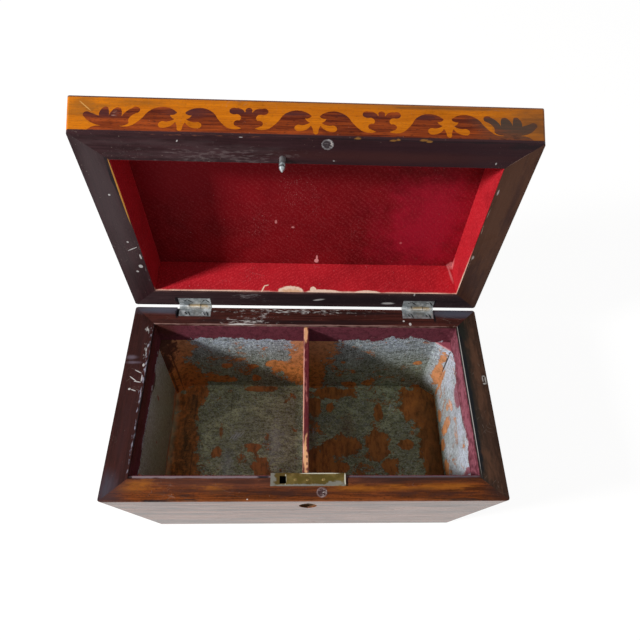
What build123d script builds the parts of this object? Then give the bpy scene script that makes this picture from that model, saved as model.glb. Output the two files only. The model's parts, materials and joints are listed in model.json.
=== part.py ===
"""Rosewood sarcophagus box with two compartments, a marquetry lid band and a box lock.

All sizes are in millimetres. The origin is the centre of the underside, +X points to the right
and +Y to the back, where the hinges are. The lid is modelled shut and stands open at rest.
"""

from build123d import *
from math import cos, radians, tan
import os

os.makedirs("parts", exist_ok=True)

# Driving sizes of the box
RIM_LENGTH = 240.0
RIM_DEPTH = 139.0
BODY_HEIGHT = 95.5
SIDE_SLOPE = 8.0
BASE_THICKNESS = 9.0
VENEER = 0.8
RIM_FACING = 1.6
PAPER = 0.3
GLUE_LINE = 0.02

# Widths of the body's rim, and the front wall that stands out past its facing
BODY_RIM_SIDE = 14.9
BODY_RIM_FRONT = 13.8
BODY_RIM_BACK = 14.6
FRONT_LIP = 2.1
UPPER_PAPER_HEIGHT = 19.0

# Lid
SHUT_GAP = 0.3
LID_OPEN_ANGLE = 90.0
BAND_HEIGHT = 24.0
BAND_VENEER = 1.0
LID_RIM_SIDE = 16.5
LID_RIM_FRONT = 16.2
LID_RIM_BACK = 15.4
LID_CAVITY_DEPTH = 26.0
HIP_RUN = 36.0
HIP_RISE = 14.0
CORNER_RADIUS = 1.7
MITRE_REACH = 1.4

# Divider and the blocks that once carried loose inner lids
DIVIDER_X = -0.7
DIVIDER_THICKNESS = 3.2
DIVIDER_DROP = 2.5
BLOCK_LENGTH = 11.0
BLOCK_DEPTH = 8.0

# Butt hinges
HINGE_INSET = 41.4
HINGE_LENGTH = 22.0
HINGE_BEHIND_RIM = 1.15
LEAF_THICKNESS = 1.1
LEAF_REACH = 8.6
KNUCKLE_DIAMETER = 3.4
HINGE_PIN_DIAMETER = 1.6
PIN_CLEARANCE = 0.05
KNUCKLE_GAP = 0.3
HINGE_SCREW_SPACING = 12.4
HINGE_SCREW_SETBACK = 2.4
HINGE_RECESS_EXTRA = 1.6

# Screws and rivets
FASTENER_SIDES = 12
SCREW_HEAD_DIAMETER = 3.2
SCREW_HEAD_HEIGHT = 0.8
SCREW_SHANK_DIAMETER = 1.6
SCREW_LENGTH = 7.0

# Box lock
LOCK_X = 0.8
LOCK_SETBACK = 9.1
LOCK_PLATE_LENGTH = 44.6
LOCK_PLATE_THICKNESS = 1.6
LOCK_BACK_THICKNESS = 1.3
LOCK_BACK_HEIGHT = 29.0
LOCK_RECESS_EXTRA = 1.5
LOCK_EAR = 4.3
LOCK_CASE_HEIGHT = 24.0
LOCK_CASE_DEPTH = 6.0
LOCK_CASE_WALL = 0.7
LOCK_FIT = 0.15
LOCK_SCREW_LENGTH = 5.0
LOCK_SCREW_DROPS = (6.0, 26.0)
RIVET_DIAMETER = 2.0
RIVET_OFFSETS = (-7.5, -0.3, 9.2)
RIVET_SETBACK = 13.2
BOLT_TRAVEL = 4.0
BOLT_LENGTH = 22.0
BOLT_HEIGHT = 9.0
BOLT_THICKNESS = 2.0
BOLT_PLAY = 0.3
BOLT_DROP = 3.3
FORK_LENGTH = 3.7
FORK_THICKNESS = 1.3
FORK_TINE = 0.9
FORK_CLEARANCE = 0.1
TALON_DEPTH = 4.0
TALON_WIDTH = 5.0
SPRING_THICKNESS = 0.4
SPRING_END_GAP = 1.3
SPRING_FOOT = 1.5
KEY_POST_DIAMETER = 2.0
KEYHOLE_DROP = 14.5
KEYHOLE_BOW = 3.4
KEYHOLE_SLOT_WIDTH = 1.8
KEYHOLE_SLOT_LENGTH = 6.0
ESCUTCHEON_DROP = 16.0
ESCUTCHEON_WIDTH = 10.8
ESCUTCHEON_HEIGHT = 17.0
ESCUTCHEON_DEPTH = 1.8

# Stud on the lid that the bolt catches, and the round discs let into both front rims
STUD_X = -14.2
STUD_SETBACK = 13.0
STUD_DIAMETER = 3.2
STUD_LENGTH = 10.2
STUD_TIP = 2.4
STUD_TIP_DIAMETER = 0.8
STUD_GROOVE_START = 4.9
STUD_GROOVE_WIDTH = 1.8
STUD_GROOVE_DIAMETER = 2.2
STUD_SHANK_DIAMETER = 2.4
STUD_SHANK_LENGTH = 8.0
STUD_SLOT_LENGTH = 3.9
STUD_SLOT_WIDTH = 4.8
DISC_DIAMETER = 6.4
DISC_X = 8.9
BODY_DISC_SETBACK = 5.3
LID_DISC_SETBACK = 3.9

# Marquetry frieze, scaled from its own drawing to the lid. A wave runs from each standing palmette,
# whose middle is 0, to the hanging leaf one pitch away. Heights are from the lid's edge. Each
# outline goes on by arcs, with the point that an arc passes and then the point where it ends
FRIEZE_PITCH = 33.9
FRIEZE_CENTRE = 2.8
TONGUE = (3.4, 4.9)
WAVE_BACK = [(7.4, 4.2), (10.8, 5.4), (13.6, 8.4), (15.8, 11.6), (18.9, 15.9), (23.6, 18.0), (28.4, 17.2), (31.9, 14.4)]
WAVE_CURL = [(30.6, 13.0), (28.5, 12.7), (29.3, 11.2), (31.0, 10.0)]
WAVE_LOBE = [(29.2, 8.7), (26.4, 8.1), (23.2, 6.2), (24.6, 4.1), (28.3, 4.7), (31.4, 8.0)]
WAVE_HEEL = [(32.3, 6.0), (32.6, 3.8), (33.0, 2.7), (FRIEZE_PITCH, 2.2)]
PALMETTE_TIP = (0.0, 18.9)
PALMETTE_LOBE = [(1.4, 18.2), (1.6, 16.4)]
PALMETTE_NOTCH = (1.9, 15.6)
PALMETTE_LEAF = [(3.6, 17.9), (6.6, 18.5), (9.8, 17.0), (8.8, 14.6), (7.6, 14.2), (6.2, 14.4), (3.8, 12.4), (4.6, 10.2)]
PALMETTE_FOOT = [(7.3, 8.6), (5.6, 6.2)]
PALMETTE_ROOT = (0.0, 4.0)
END_SHIFT = 1.7
END_REACH = 14.2
END_MARGIN = 3.0
END_STRIP_START = (-11.6, 0.0)
END_STRIP = [(-9.6, 3.1), (-5.2, 4.4)]
END_START = (-5.2, 4.7)
END_SIDE_LEAF = [(-9.8, 6.4), (-13.4, 10.0), (-END_REACH, 12.6), (-12.0, 13.6), (-9.0, 12.0), (-6.3, 11.0)]
END_SECOND_LEAF = [(-6.4, 13.8), (-5.3, 16.2), (-3.7, 17.2), (-2.3, 15.8), (-1.7, 13.4), (-1.4, 11.0)]
END_THIRD_LEAF = [(-0.7, 14.0), (0.8, 16.2), (2.8, 16.8), (4.2, 15.2), (4.7, 13.0), (4.7, 10.8)]
END_FOURTH_LEAF = [(6.4, 14.0), (9.4, 16.7), (13.2, 16.3), (12.4, 13.6), (10.6, 12.6), (9.2, 11.0)]
END_FOOT = [(8.4, 8.9), (8.8, 6.8), (7.4, 5.2), (4.6, 4.6)]
END_ROOT = (0.0, 2.0)


# Places worked out from the sizes above
SLOPE_RUN = tan(radians(SIDE_SLOPE))
HALF_LENGTH = RIM_LENGTH / 2
FRIEZE_LENGTH = 2 * (FRIEZE_CENTRE + 3 * FRIEZE_PITCH - END_SHIFT + END_REACH + END_MARGIN)
HALF_DEPTH = RIM_DEPTH / 2
RIM_Z = BODY_HEIGHT
LID_Z = BODY_HEIGHT + SHUT_GAP
BOARD_TOP = RIM_Z - RIM_FACING
LID_BOARD_FOOT = LID_Z + RIM_FACING
CAVITY_X = HALF_LENGTH - BODY_RIM_SIDE
CAVITY_FRONT = -HALF_DEPTH + BODY_RIM_FRONT + FRONT_LIP
CAVITY_BACK = HALF_DEPTH - BODY_RIM_BACK
UPPER_PAPER_Z = RIM_Z - UPPER_PAPER_HEIGHT
LID_CAVITY_X = HALF_LENGTH - LID_RIM_SIDE
LID_CAVITY_FRONT = -HALF_DEPTH + LID_RIM_FRONT
LID_CAVITY_BACK = HALF_DEPTH - LID_RIM_BACK
LID_CEILING_Z = LID_Z + LID_CAVITY_DEPTH
BAND_TOP_Z = LID_Z + BAND_HEIGHT
HINGE_X = HALF_LENGTH - HINGE_INSET
HINGE_Y = HALF_DEPTH + HINGE_BEHIND_RIM
HINGE_Z = RIM_Z + SHUT_GAP / 2
HINGE_AXIS = Axis((0, HINGE_Y, HINGE_Z), (1, 0, 0))
KNUCKLE_LENGTH = HINGE_LENGTH / 3
HINGE_SCREW_Y = HINGE_Y - LEAF_REACH + HINGE_SCREW_SETBACK
DIVIDER_LEFT = DIVIDER_X - DIVIDER_THICKNESS / 2
DIVIDER_RIGHT = DIVIDER_X + DIVIDER_THICKNESS / 2
DIVIDER_TOP = RIM_Z - DIVIDER_DROP
LOCK_LEFT = LOCK_X - LOCK_PLATE_LENGTH / 2
LOCK_RIGHT = LOCK_X + LOCK_PLATE_LENGTH / 2
LOCK_FRONT = -HALF_DEPTH + LOCK_SETBACK
LOCK_BACK = CAVITY_FRONT + LOCK_BACK_THICKNESS
LOCK_PLATE_Z = RIM_Z - LOCK_PLATE_THICKNESS
LOCK_FOOT_Z = RIM_Z - LOCK_BACK_HEIGHT
CASE_FRONT = CAVITY_FRONT - LOCK_CASE_DEPTH
LOCK_CASE_LENGTH = LOCK_PLATE_LENGTH - 2 * LOCK_EAR
LOCK_SCREW_INSET = LOCK_EAR / 2
CASE_LEFT = LOCK_X - LOCK_CASE_LENGTH / 2
CASE_RIGHT = LOCK_X + LOCK_CASE_LENGTH / 2
CASE_FOOT_Z = LOCK_PLATE_Z - LOCK_CASE_HEIGHT
KEYHOLE_Z = RIM_Z - KEYHOLE_DROP
STUD_Y = -HALF_DEPTH + STUD_SETBACK
STUD_PLACE = (STUD_X, STUD_Y, LID_Z)
GROOVE_Z = LID_Z - STUD_GROOVE_START - STUD_GROOVE_WIDTH / 2
FORK_SLOT = STUD_GROOVE_DIAMETER + 2 * FORK_CLEARANCE
FORK_WIDTH = FORK_SLOT + 2 * FORK_TINE
BOLT_BACK = CAVITY_FRONT - BOLT_PLAY
BOLT_TOP = RIM_Z - BOLT_DROP
FORK_TIP_X = STUD_X + STUD_SLOT_LENGTH / 2 + BOLT_PLAY
BOLT_LEFT = FORK_TIP_X + FORK_LENGTH
SPRING_RISE = LOCK_PLATE_Z - BOLT_TOP - BOLT_PLAY - SPRING_THICKNESS
DISC_THICKNESS = RIM_FACING
BODY_DISC_Y = -HALF_DEPTH + BODY_DISC_SETBACK
LID_DISC_Y = -HALF_DEPTH + LID_DISC_SETBACK
BAND_INSET = BAND_VENEER / cos(radians(SIDE_SLOPE))
BAND_TOP_SPREAD = BAND_HEIGHT * SLOPE_RUN
DECK_Z = BAND_TOP_Z + HIP_RISE
DECK_SPREAD = BAND_TOP_SPREAD - HIP_RUN
HIP_FLATNESS = HIP_RUN / HIP_RISE
HIP_DROP = VENEER * (HIP_RUN**2 + HIP_RISE**2) ** 0.5 / HIP_RUN
HIP_FOOT_Z = BAND_TOP_Z - HIP_DROP
HIP_VENEER_RUN = HIP_DROP * HIP_FLATNESS
CORE_TOP_Z = DECK_Z - HIP_DROP
SHOULDER_FALL = (HIP_VENEER_RUN - BAND_INSET) / (SLOPE_RUN + HIP_FLATNESS)
SHOULDER_Z = BAND_TOP_Z - SHOULDER_FALL
SHOULDER_SPREAD = BAND_TOP_SPREAD - SHOULDER_FALL * SLOPE_RUN - BAND_INSET
SIDES = ("front", "right", "back", "left")


def leaning_plane(x, z, rim_z):
    """The plane of a leaning front face at a height, with its own Y axis running up the slope."""
    front_y = -HALF_DEPTH - (z - rim_z) * SLOPE_RUN
    return Plane(origin=(x, front_y, z), x_dir=(1, 0, 0), z_dir=(0, -1, -SLOPE_RUN))


# Saving pieces


def save(piece, name):
    """Write a piece of the body where it stands."""
    piece.part.label = name
    export_step(piece.part, f"parts/{name}.step")


def save_open(piece, name):
    """Swing a piece of the lid about the hinge pins to its open place, and write it."""
    opened = piece.part.rotate(HINGE_AXIS, -LID_OPEN_ANGLE)
    opened.label = name
    export_step(opened, f"parts/{name}.step")


# Shapes that several pieces share


def tapered_block(levels, corner=0, mode=Mode.ADD):
    """A block whose faces spread from the rim's own outline by an amount at each height.

    It is what two upright profiles have in common, one seen from the front and one from the side.
    """
    profiles = []
    for plane, half_width in ((Plane.XZ, HALF_LENGTH), (Plane.YZ, HALF_DEPTH)):
        right = [(half_width + spread, height) for height, spread in levels]
        left = [(-across, height) for across, height in reversed(right)]
        with BuildSketch(plane) as profile:
            with BuildLine():
                Polyline(*right, *left, close=True)
            make_face()
        profiles.append(
            extrude(profile.sketch, amount=RIM_LENGTH, both=True, mode=Mode.PRIVATE)
        )
    block = profiles[0] & profiles[1]
    if corner:
        leaning = block.edges().filter_by(Plane.XY, reverse=True)
        block = block.fillet(corner, leaning)
    add(block, mode=mode)


def sloping_block(low, high, rim_z, inset, corner=0, mode=Mode.ADD):
    """A block between two heights whose sides lean outwards, set in from the outer faces."""
    levels = [(height, (height - rim_z) * SLOPE_RUN - inset) for height in (low, high)]
    tapered_block(levels, corner, mode)


def box_between(low, high, mode=Mode.ADD):
    """A plain block between two opposite corners."""
    size = [high[i] - low[i] for i in range(3)]
    centre = tuple((high[i] + low[i]) / 2 for i in range(3))
    with Locations(centre):
        Box(*size, mode=mode)


def keep_side(side, inner_x, inner_front, inner_back, low, high):
    """Keep what lies in one side's mitred sector, from the outer corners to the inner ones."""
    inner = {
        "front left": (-inner_x, inner_front),
        "front right": (inner_x, inner_front),
        "back right": (inner_x, inner_back),
        "back left": (-inner_x, inner_back),
    }
    outer = {
        "front left": (-HALF_LENGTH, -HALF_DEPTH),
        "front right": (HALF_LENGTH, -HALF_DEPTH),
        "back right": (HALF_LENGTH, HALF_DEPTH),
        "back left": (-HALF_LENGTH, HALF_DEPTH),
    }
    ends = {
        "front": ("front left", "front right"),
        "right": ("front right", "back right"),
        "back": ("back right", "back left"),
        "left": ("back left", "front left"),
    }[side]
    far = [
        tuple(inner[end][i] + MITRE_REACH * (outer[end][i] - inner[end][i]) for i in (0, 1))
        for end in ends
    ]
    with BuildSketch(Plane.XY.offset(low)) as sector:
        with BuildLine():
            Polyline(inner[ends[0]], far[0], far[1], inner[ends[1]], close=True)
        make_face()
    extrude(sector.sketch, amount=high - low, mode=Mode.INTERSECT)


def keep_even_side(side, low, high):
    """Keep one side of a skin whose mitres run at 45 degrees from the outer corners."""
    depth = HALF_DEPTH / 2
    keep_side(side, HALF_LENGTH - depth, depth - HALF_DEPTH, HALF_DEPTH - depth, low, high)


# Seats that are cut in more than one piece


def cut_hinge_barrels():
    """Scoop the back edge clear of both hinge barrels."""
    for side in (-1, 1):
        with Locations(Location((side * HINGE_X, HINGE_Y, HINGE_Z), (0, 90, 0))):
            Cylinder(
                KNUCKLE_DIAMETER / 2 + KNUCKLE_GAP,
                HINGE_LENGTH + 2 * KNUCKLE_GAP,
                mode=Mode.SUBTRACT,
            )


def cut_hinge_leaves(low, high, wide_recess):
    """Let both hinge leaves in, with the worn recess wider at the left hinge's outer end."""
    for side in (-1, 1):
        extra = HINGE_RECESS_EXTRA if side < 0 and wide_recess else 0
        left = side * HINGE_X - HINGE_LENGTH / 2
        box_between(
            (left - GLUE_LINE - extra, HINGE_Y - LEAF_REACH - GLUE_LINE, low),
            (left + HINGE_LENGTH + GLUE_LINE, HINGE_Y, high),
            mode=Mode.SUBTRACT,
        )


def hinge_screw_places(height):
    """The four places where screws hold one leaf of each hinge."""
    return [
        (side * HINGE_X + end * HINGE_SCREW_SPACING / 2, HINGE_SCREW_Y, height)
        for side in (-1, 1)
        for end in (-1, 1)
    ]


def screw_bar(place, angle, diameter, length, mode):
    """A many-sided bar that runs inwards from the place of a screw or rivet."""
    with BuildSketch(Plane(Location(place, (angle, 0, 0)))) as section:
        RegularPolygon(diameter / 2, FASTENER_SIDES)
    extrude(section.sketch, amount=-length, mode=mode)


def cut_screw_holes(places, angle, length):
    """Bore holes for screw shanks, each starting at its place."""
    for place in places:
        screw_bar(place, angle, SCREW_SHANK_DIAMETER + 2 * GLUE_LINE, length, Mode.SUBTRACT)


def cut_head_seats(places, angle):
    """Let in the heads of screws, each head flush with its place."""
    for place in places:
        screw_bar(
            place, angle, SCREW_HEAD_DIAMETER + 2 * GLUE_LINE, SCREW_HEAD_HEIGHT, Mode.SUBTRACT
        )


def add_screws(places, angle, length):
    """Flat-headed screws, each head flush with its place."""
    for place in places:
        screw_bar(place, angle, SCREW_HEAD_DIAMETER, SCREW_HEAD_HEIGHT, Mode.ADD)
        screw_bar(place, angle, SCREW_SHANK_DIAMETER, length, Mode.ADD)


def cut_disc_seat(setback_y, face_z, down):
    """Bore the seat of a round disc into the front rim from its face."""
    centre_z = face_z - down * DISC_THICKNESS / 2
    with Locations((DISC_X, setback_y, centre_z)):
        Cylinder(DISC_DIAMETER / 2 + GLUE_LINE, DISC_THICKNESS + 2 * GLUE_LINE, mode=Mode.SUBTRACT)


def cut_lock_plate_seat():
    """Let the lock's top plate into the front rim, a little longer than the plate."""
    box_between(
        (LOCK_LEFT - GLUE_LINE, LOCK_FRONT - GLUE_LINE, LOCK_PLATE_Z),
        (LOCK_RIGHT + LOCK_RECESS_EXTRA, CAVITY_FRONT, RIM_Z),
        mode=Mode.SUBTRACT,
    )


def cut_lock_back_room():
    """Leave room for the lock's back plate on the inner face of the front wall."""
    box_between(
        (LOCK_LEFT - GLUE_LINE, CAVITY_FRONT, LOCK_FOOT_Z - GLUE_LINE),
        (LOCK_RIGHT + GLUE_LINE, LOCK_BACK + GLUE_LINE, RIM_Z),
        mode=Mode.SUBTRACT,
    )


def cut_keyhole(near, far):
    """The keyhole: a round bow with a slot hanging from it, between two depths."""
    with BuildSketch(Plane.XZ.offset(-far)) as keyhole:
        with Locations((LOCK_X, KEYHOLE_Z)):
            Circle(KEYHOLE_BOW / 2)
        with Locations((LOCK_X, KEYHOLE_Z - KEYHOLE_SLOT_LENGTH / 2)):
            Rectangle(KEYHOLE_SLOT_WIDTH, KEYHOLE_SLOT_LENGTH)
    extrude(keyhole.sketch, amount=far - near, mode=Mode.SUBTRACT)


def cut_escutcheon_seat():
    """The pointed oval seat of the lost escutcheon, square to the front face."""
    tip = ESCUTCHEON_HEIGHT / 2
    with BuildSketch(leaning_plane(LOCK_X, RIM_Z - ESCUTCHEON_DROP, RIM_Z)) as seat:
        with BuildLine():
            ThreePointArc((0, -tip), (ESCUTCHEON_WIDTH / 2, 0), (0, tip))
            ThreePointArc((0, tip), (-ESCUTCHEON_WIDTH / 2, 0), (0, -tip))
        make_face()
    extrude(seat.sketch, amount=-ESCUTCHEON_DEPTH, mode=Mode.SUBTRACT)


def cut_stud_hole():
    """Bore the hole that holds the stud's shank in the lid's front."""
    with Locations(STUD_PLACE):
        Cylinder(
            STUD_SHANK_DIAMETER / 2 + GLUE_LINE,
            STUD_SHANK_LENGTH + GLUE_LINE,
            align=(Align.CENTER, Align.CENTER, Align.MIN),
            mode=Mode.SUBTRACT,
        )


def rivet_places():
    """The three rivets in the lock's top plate."""
    return [
        (LOCK_X + offset, -HALF_DEPTH + RIVET_SETBACK, RIM_Z)
        for offset in RIVET_OFFSETS
    ]


def lock_screw_places():
    """The four places where screws hold the lock's back plate."""
    return [
        (x, LOCK_BACK, RIM_Z - drop)
        for x in (LOCK_LEFT + LOCK_SCREW_INSET, LOCK_RIGHT - LOCK_SCREW_INSET)
        for drop in LOCK_SCREW_DROPS
    ]


def arcs(start, places):
    """Arcs end to end, each through one place to the next one."""
    for middle, end in zip(places[::2], places[1::2]):
        ThreePointArc(start, middle, end)
        start = end


def lid_core(mode=Mode.ADD):
    """The whole lid inside its veneers: leaning sides under a hipped top."""
    tapered_block(
        [(LID_Z, -BAND_INSET), (SHOULDER_Z, SHOULDER_SPREAD), (CORE_TOP_Z, DECK_SPREAD)],
        mode=mode,
    )


def band_skin(side):
    """One side of the veneer round the lid's leaning band."""
    sloping_block(LID_BOARD_FOOT, HIP_FOOT_Z, LID_Z, 0, CORNER_RADIUS)
    lid_core(mode=Mode.SUBTRACT)
    keep_even_side(side, LID_BOARD_FOOT, HIP_FOOT_Z)


# Body: base, four wedge-shaped walls and their veneers

with BuildPart() as base_board:
    sloping_block(0, BASE_THICKNESS, RIM_Z, VENEER)
save(base_board, "base_board")

for side in SIDES:
    with BuildPart() as wall:
        sloping_block(BASE_THICKNESS, BOARD_TOP, RIM_Z, VENEER)
        box_between(
            (-CAVITY_X, CAVITY_FRONT, BASE_THICKNESS),
            (CAVITY_X, CAVITY_BACK, BOARD_TOP),
            mode=Mode.SUBTRACT,
        )
        keep_side(side, CAVITY_X, CAVITY_FRONT, CAVITY_BACK, BASE_THICKNESS, BOARD_TOP)
        if side == "front":
            box_between(
                (CASE_LEFT - LOCK_FIT, CASE_FRONT - LOCK_FIT, CASE_FOOT_Z - LOCK_FIT),
                (CASE_RIGHT + LOCK_FIT, CAVITY_FRONT, BOARD_TOP),
                mode=Mode.SUBTRACT,
            )
            cut_keyhole(-HALF_DEPTH, CASE_FRONT)
            cut_escutcheon_seat()
            cut_screw_holes(lock_screw_places(), -90, LOCK_SCREW_LENGTH + GLUE_LINE)
        if side == "back":
            cut_screw_holes(hinge_screw_places(RIM_Z), 0, SCREW_LENGTH + GLUE_LINE)
    save(wall, f"body_{side}_wall")

for side in SIDES:
    with BuildPart() as skin:
        sloping_block(0, BOARD_TOP, RIM_Z, 0, CORNER_RADIUS)
        sloping_block(0, BOARD_TOP, RIM_Z, VENEER, mode=Mode.SUBTRACT)
        keep_even_side(side, 0, BOARD_TOP)
        if side == "front":
            cut_escutcheon_seat()
    save(skin, f"body_{side}_veneer")

# Mitred facings round the body's rim

for side in SIDES:
    with BuildPart() as facing:
        sloping_block(BOARD_TOP, RIM_Z, RIM_Z, 0, CORNER_RADIUS)
        box_between(
            (-CAVITY_X, -HALF_DEPTH + BODY_RIM_FRONT, BOARD_TOP),
            (CAVITY_X, CAVITY_BACK, RIM_Z),
            mode=Mode.SUBTRACT,
        )
        keep_side(side, CAVITY_X, -HALF_DEPTH + BODY_RIM_FRONT, CAVITY_BACK, BOARD_TOP, RIM_Z)
        if side == "front":
            cut_lock_plate_seat()
            cut_disc_seat(BODY_DISC_Y, RIM_Z, 1)
        if side == "back":
            cut_hinge_barrels()
            cut_hinge_leaves(RIM_Z - LEAF_THICKNESS - GLUE_LINE, RIM_Z, True)
            cut_screw_holes(hinge_screw_places(RIM_Z), 0, SCREW_LENGTH)
    save(facing, f"body_{side}_rim")

# Inside of the body: divider, corner blocks and papers

with BuildPart() as divider:
    box_between(
        (DIVIDER_LEFT, CAVITY_FRONT, BASE_THICKNESS), (DIVIDER_RIGHT, CAVITY_BACK, DIVIDER_TOP)
    )
    cut_lock_back_room()
save(divider, "divider")

with BuildPart() as divider_paper:
    box_between(
        (DIVIDER_LEFT - PAPER, CAVITY_FRONT + PAPER, BASE_THICKNESS + PAPER),
        (DIVIDER_RIGHT + PAPER, CAVITY_BACK - PAPER, DIVIDER_TOP - PAPER),
    )
    box_between(
        (DIVIDER_LEFT, CAVITY_FRONT, BASE_THICKNESS),
        (DIVIDER_RIGHT, CAVITY_BACK, DIVIDER_TOP),
        mode=Mode.SUBTRACT,
    )
    cut_lock_back_room()
save(divider_paper, "divider_paper")

for side, low_x, high_x in (
    ("left", -CAVITY_X, DIVIDER_LEFT),
    ("right", DIVIDER_RIGHT, CAVITY_X),
):
    open_low = PAPER if side == "left" else -PAPER
    open_high = PAPER if side == "right" else -PAPER
    with BuildPart() as foil:
        box_between((low_x, CAVITY_FRONT, BASE_THICKNESS), (high_x, CAVITY_BACK, UPPER_PAPER_Z))
        box_between(
            (low_x + open_low, CAVITY_FRONT + PAPER, BASE_THICKNESS + PAPER),
            (high_x - open_high, CAVITY_BACK - PAPER, UPPER_PAPER_Z),
            mode=Mode.SUBTRACT,
        )
        cut_lock_back_room()
    save(foil, f"foil_lining_{side}")

with BuildPart() as upper_paper:
    box_between((-CAVITY_X, CAVITY_FRONT, UPPER_PAPER_Z), (CAVITY_X, CAVITY_BACK, BOARD_TOP))
    box_between(
        (-CAVITY_X + PAPER, CAVITY_FRONT + PAPER, UPPER_PAPER_Z),
        (CAVITY_X - PAPER, CAVITY_BACK - PAPER, BOARD_TOP),
        mode=Mode.SUBTRACT,
    )
    box_between(
        (DIVIDER_LEFT, CAVITY_FRONT, UPPER_PAPER_Z),
        (DIVIDER_RIGHT, CAVITY_BACK, BOARD_TOP),
        mode=Mode.SUBTRACT,
    )
    cut_lock_back_room()
save(upper_paper, "upper_paper_band")

for side, across in (("left", -1), ("right", 1)):
    block_x = across * (CAVITY_X - PAPER)
    with BuildPart() as blocks:
        for wall_y, inward in ((CAVITY_FRONT + PAPER, 1), (CAVITY_BACK - PAPER, -1)):
            with BuildSketch(Plane.XY.offset(BASE_THICKNESS + PAPER)):
                with BuildLine():
                    Polyline(
                        (block_x, wall_y),
                        (block_x - across * BLOCK_LENGTH, wall_y),
                        (block_x, wall_y + inward * BLOCK_DEPTH),
                        close=True,
                    )
                make_face()
        extrude(amount=UPPER_PAPER_Z - BASE_THICKNESS - PAPER)
    save(blocks, f"corner_blocks_{side}")

with BuildPart() as body_disc:
    with Locations((DISC_X, BODY_DISC_Y, RIM_Z - DISC_THICKNESS / 2)):
        Cylinder(DISC_DIAMETER / 2, DISC_THICKNESS)
save(body_disc, "body_rim_disc")

# Box lock: an angled plate carries the case, and the bolt slides between them

with BuildPart() as lock_plate:
    box_between((LOCK_LEFT, LOCK_FRONT, LOCK_PLATE_Z), (LOCK_RIGHT, LOCK_BACK, RIM_Z))
    box_between((LOCK_LEFT, CAVITY_FRONT, LOCK_FOOT_Z), (LOCK_RIGHT, LOCK_BACK, RIM_Z))
    with Locations((STUD_X, STUD_Y, RIM_Z - LOCK_PLATE_THICKNESS / 2)):
        Box(STUD_SLOT_LENGTH, STUD_SLOT_WIDTH, LOCK_PLATE_THICKNESS, mode=Mode.SUBTRACT)
    for place in rivet_places():
        screw_bar(
            place, 0, RIVET_DIAMETER + 2 * GLUE_LINE, LOCK_PLATE_THICKNESS, Mode.SUBTRACT
        )
    cut_head_seats(lock_screw_places(), -90)
    cut_screw_holes(lock_screw_places(), -90, LOCK_SCREW_LENGTH)
save(lock_plate, "lock_plate")

with BuildPart() as lock_rivets:
    for place in rivet_places():
        screw_bar(place, 0, RIVET_DIAMETER, LOCK_PLATE_THICKNESS, Mode.ADD)
save(lock_rivets, "lock_rivets")

with BuildPart() as lock_screws:
    add_screws(lock_screw_places(), -90, LOCK_SCREW_LENGTH)
save(lock_screws, "lock_screws")

with BuildPart() as lock_case:
    box_between((CASE_LEFT, CASE_FRONT, CASE_FOOT_Z), (CASE_RIGHT, CAVITY_FRONT, LOCK_PLATE_Z))
    box_between(
        (CASE_LEFT + LOCK_CASE_WALL, CASE_FRONT + LOCK_CASE_WALL, CASE_FOOT_Z + LOCK_CASE_WALL),
        (CASE_RIGHT - LOCK_CASE_WALL, CAVITY_FRONT, LOCK_PLATE_Z),
        mode=Mode.SUBTRACT,
    )
    cut_keyhole(CASE_FRONT, CASE_FRONT + LOCK_CASE_WALL)
save(lock_case, "lock_case")

with BuildPart() as lock_bolt:
    box_between(
        (BOLT_LEFT, BOLT_BACK - BOLT_THICKNESS, BOLT_TOP - BOLT_HEIGHT),
        (BOLT_LEFT + BOLT_LENGTH, BOLT_BACK, BOLT_TOP),
    )
    with Locations((LOCK_X, BOLT_BACK - BOLT_THICKNESS / 2, BOLT_TOP - BOLT_HEIGHT)):
        Box(
            TALON_WIDTH,
            BOLT_THICKNESS,
            TALON_DEPTH,
            align=(Align.CENTER, Align.CENTER, Align.MIN),
            mode=Mode.SUBTRACT,
        )
    box_between(
        (FORK_TIP_X, STUD_Y - FORK_WIDTH / 2, GROOVE_Z - FORK_THICKNESS / 2),
        (BOLT_LEFT + FORK_THICKNESS, STUD_Y + FORK_WIDTH / 2, GROOVE_Z + FORK_THICKNESS / 2),
    )
    slot_end = STUD_X + BOLT_TRAVEL
    with Locations((slot_end, STUD_Y, GROOVE_Z)):
        Cylinder(FORK_SLOT / 2, FORK_THICKNESS, mode=Mode.SUBTRACT)
    box_between(
        (FORK_TIP_X, STUD_Y - FORK_SLOT / 2, GROOVE_Z - FORK_THICKNESS / 2),
        (slot_end, STUD_Y + FORK_SLOT / 2, GROOVE_Z + FORK_THICKNESS / 2),
        mode=Mode.SUBTRACT,
    )
save(lock_bolt, "lock_bolt")

with BuildPart() as lock_spring:
    left = LOCK_X + TALON_WIDTH / 2
    right = CASE_RIGHT - LOCK_CASE_WALL - SPRING_END_GAP - SPRING_FOOT
    under = LOCK_PLATE_Z - SPRING_THICKNESS
    with BuildSketch(Plane.XZ.offset(-BOLT_BACK)):
        with BuildLine():
            ThreePointArc(
                (left, LOCK_PLATE_Z),
                ((left + right) / 2, LOCK_PLATE_Z - SPRING_RISE),
                (right, LOCK_PLATE_Z),
            )
            ThreePointArc(
                (left, under), ((left + right) / 2, under - SPRING_RISE), (right, under)
            )
            Polyline(
                (right, LOCK_PLATE_Z),
                (right + SPRING_FOOT, LOCK_PLATE_Z),
                (right + SPRING_FOOT, under),
                (right, under),
            )
            Polyline(
                (left, LOCK_PLATE_Z),
                (left - SPRING_FOOT, LOCK_PLATE_Z),
                (left - SPRING_FOOT, under),
                (left, under),
            )
        make_face()
    extrude(amount=BOLT_THICKNESS)
save(lock_spring, "lock_spring")

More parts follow.
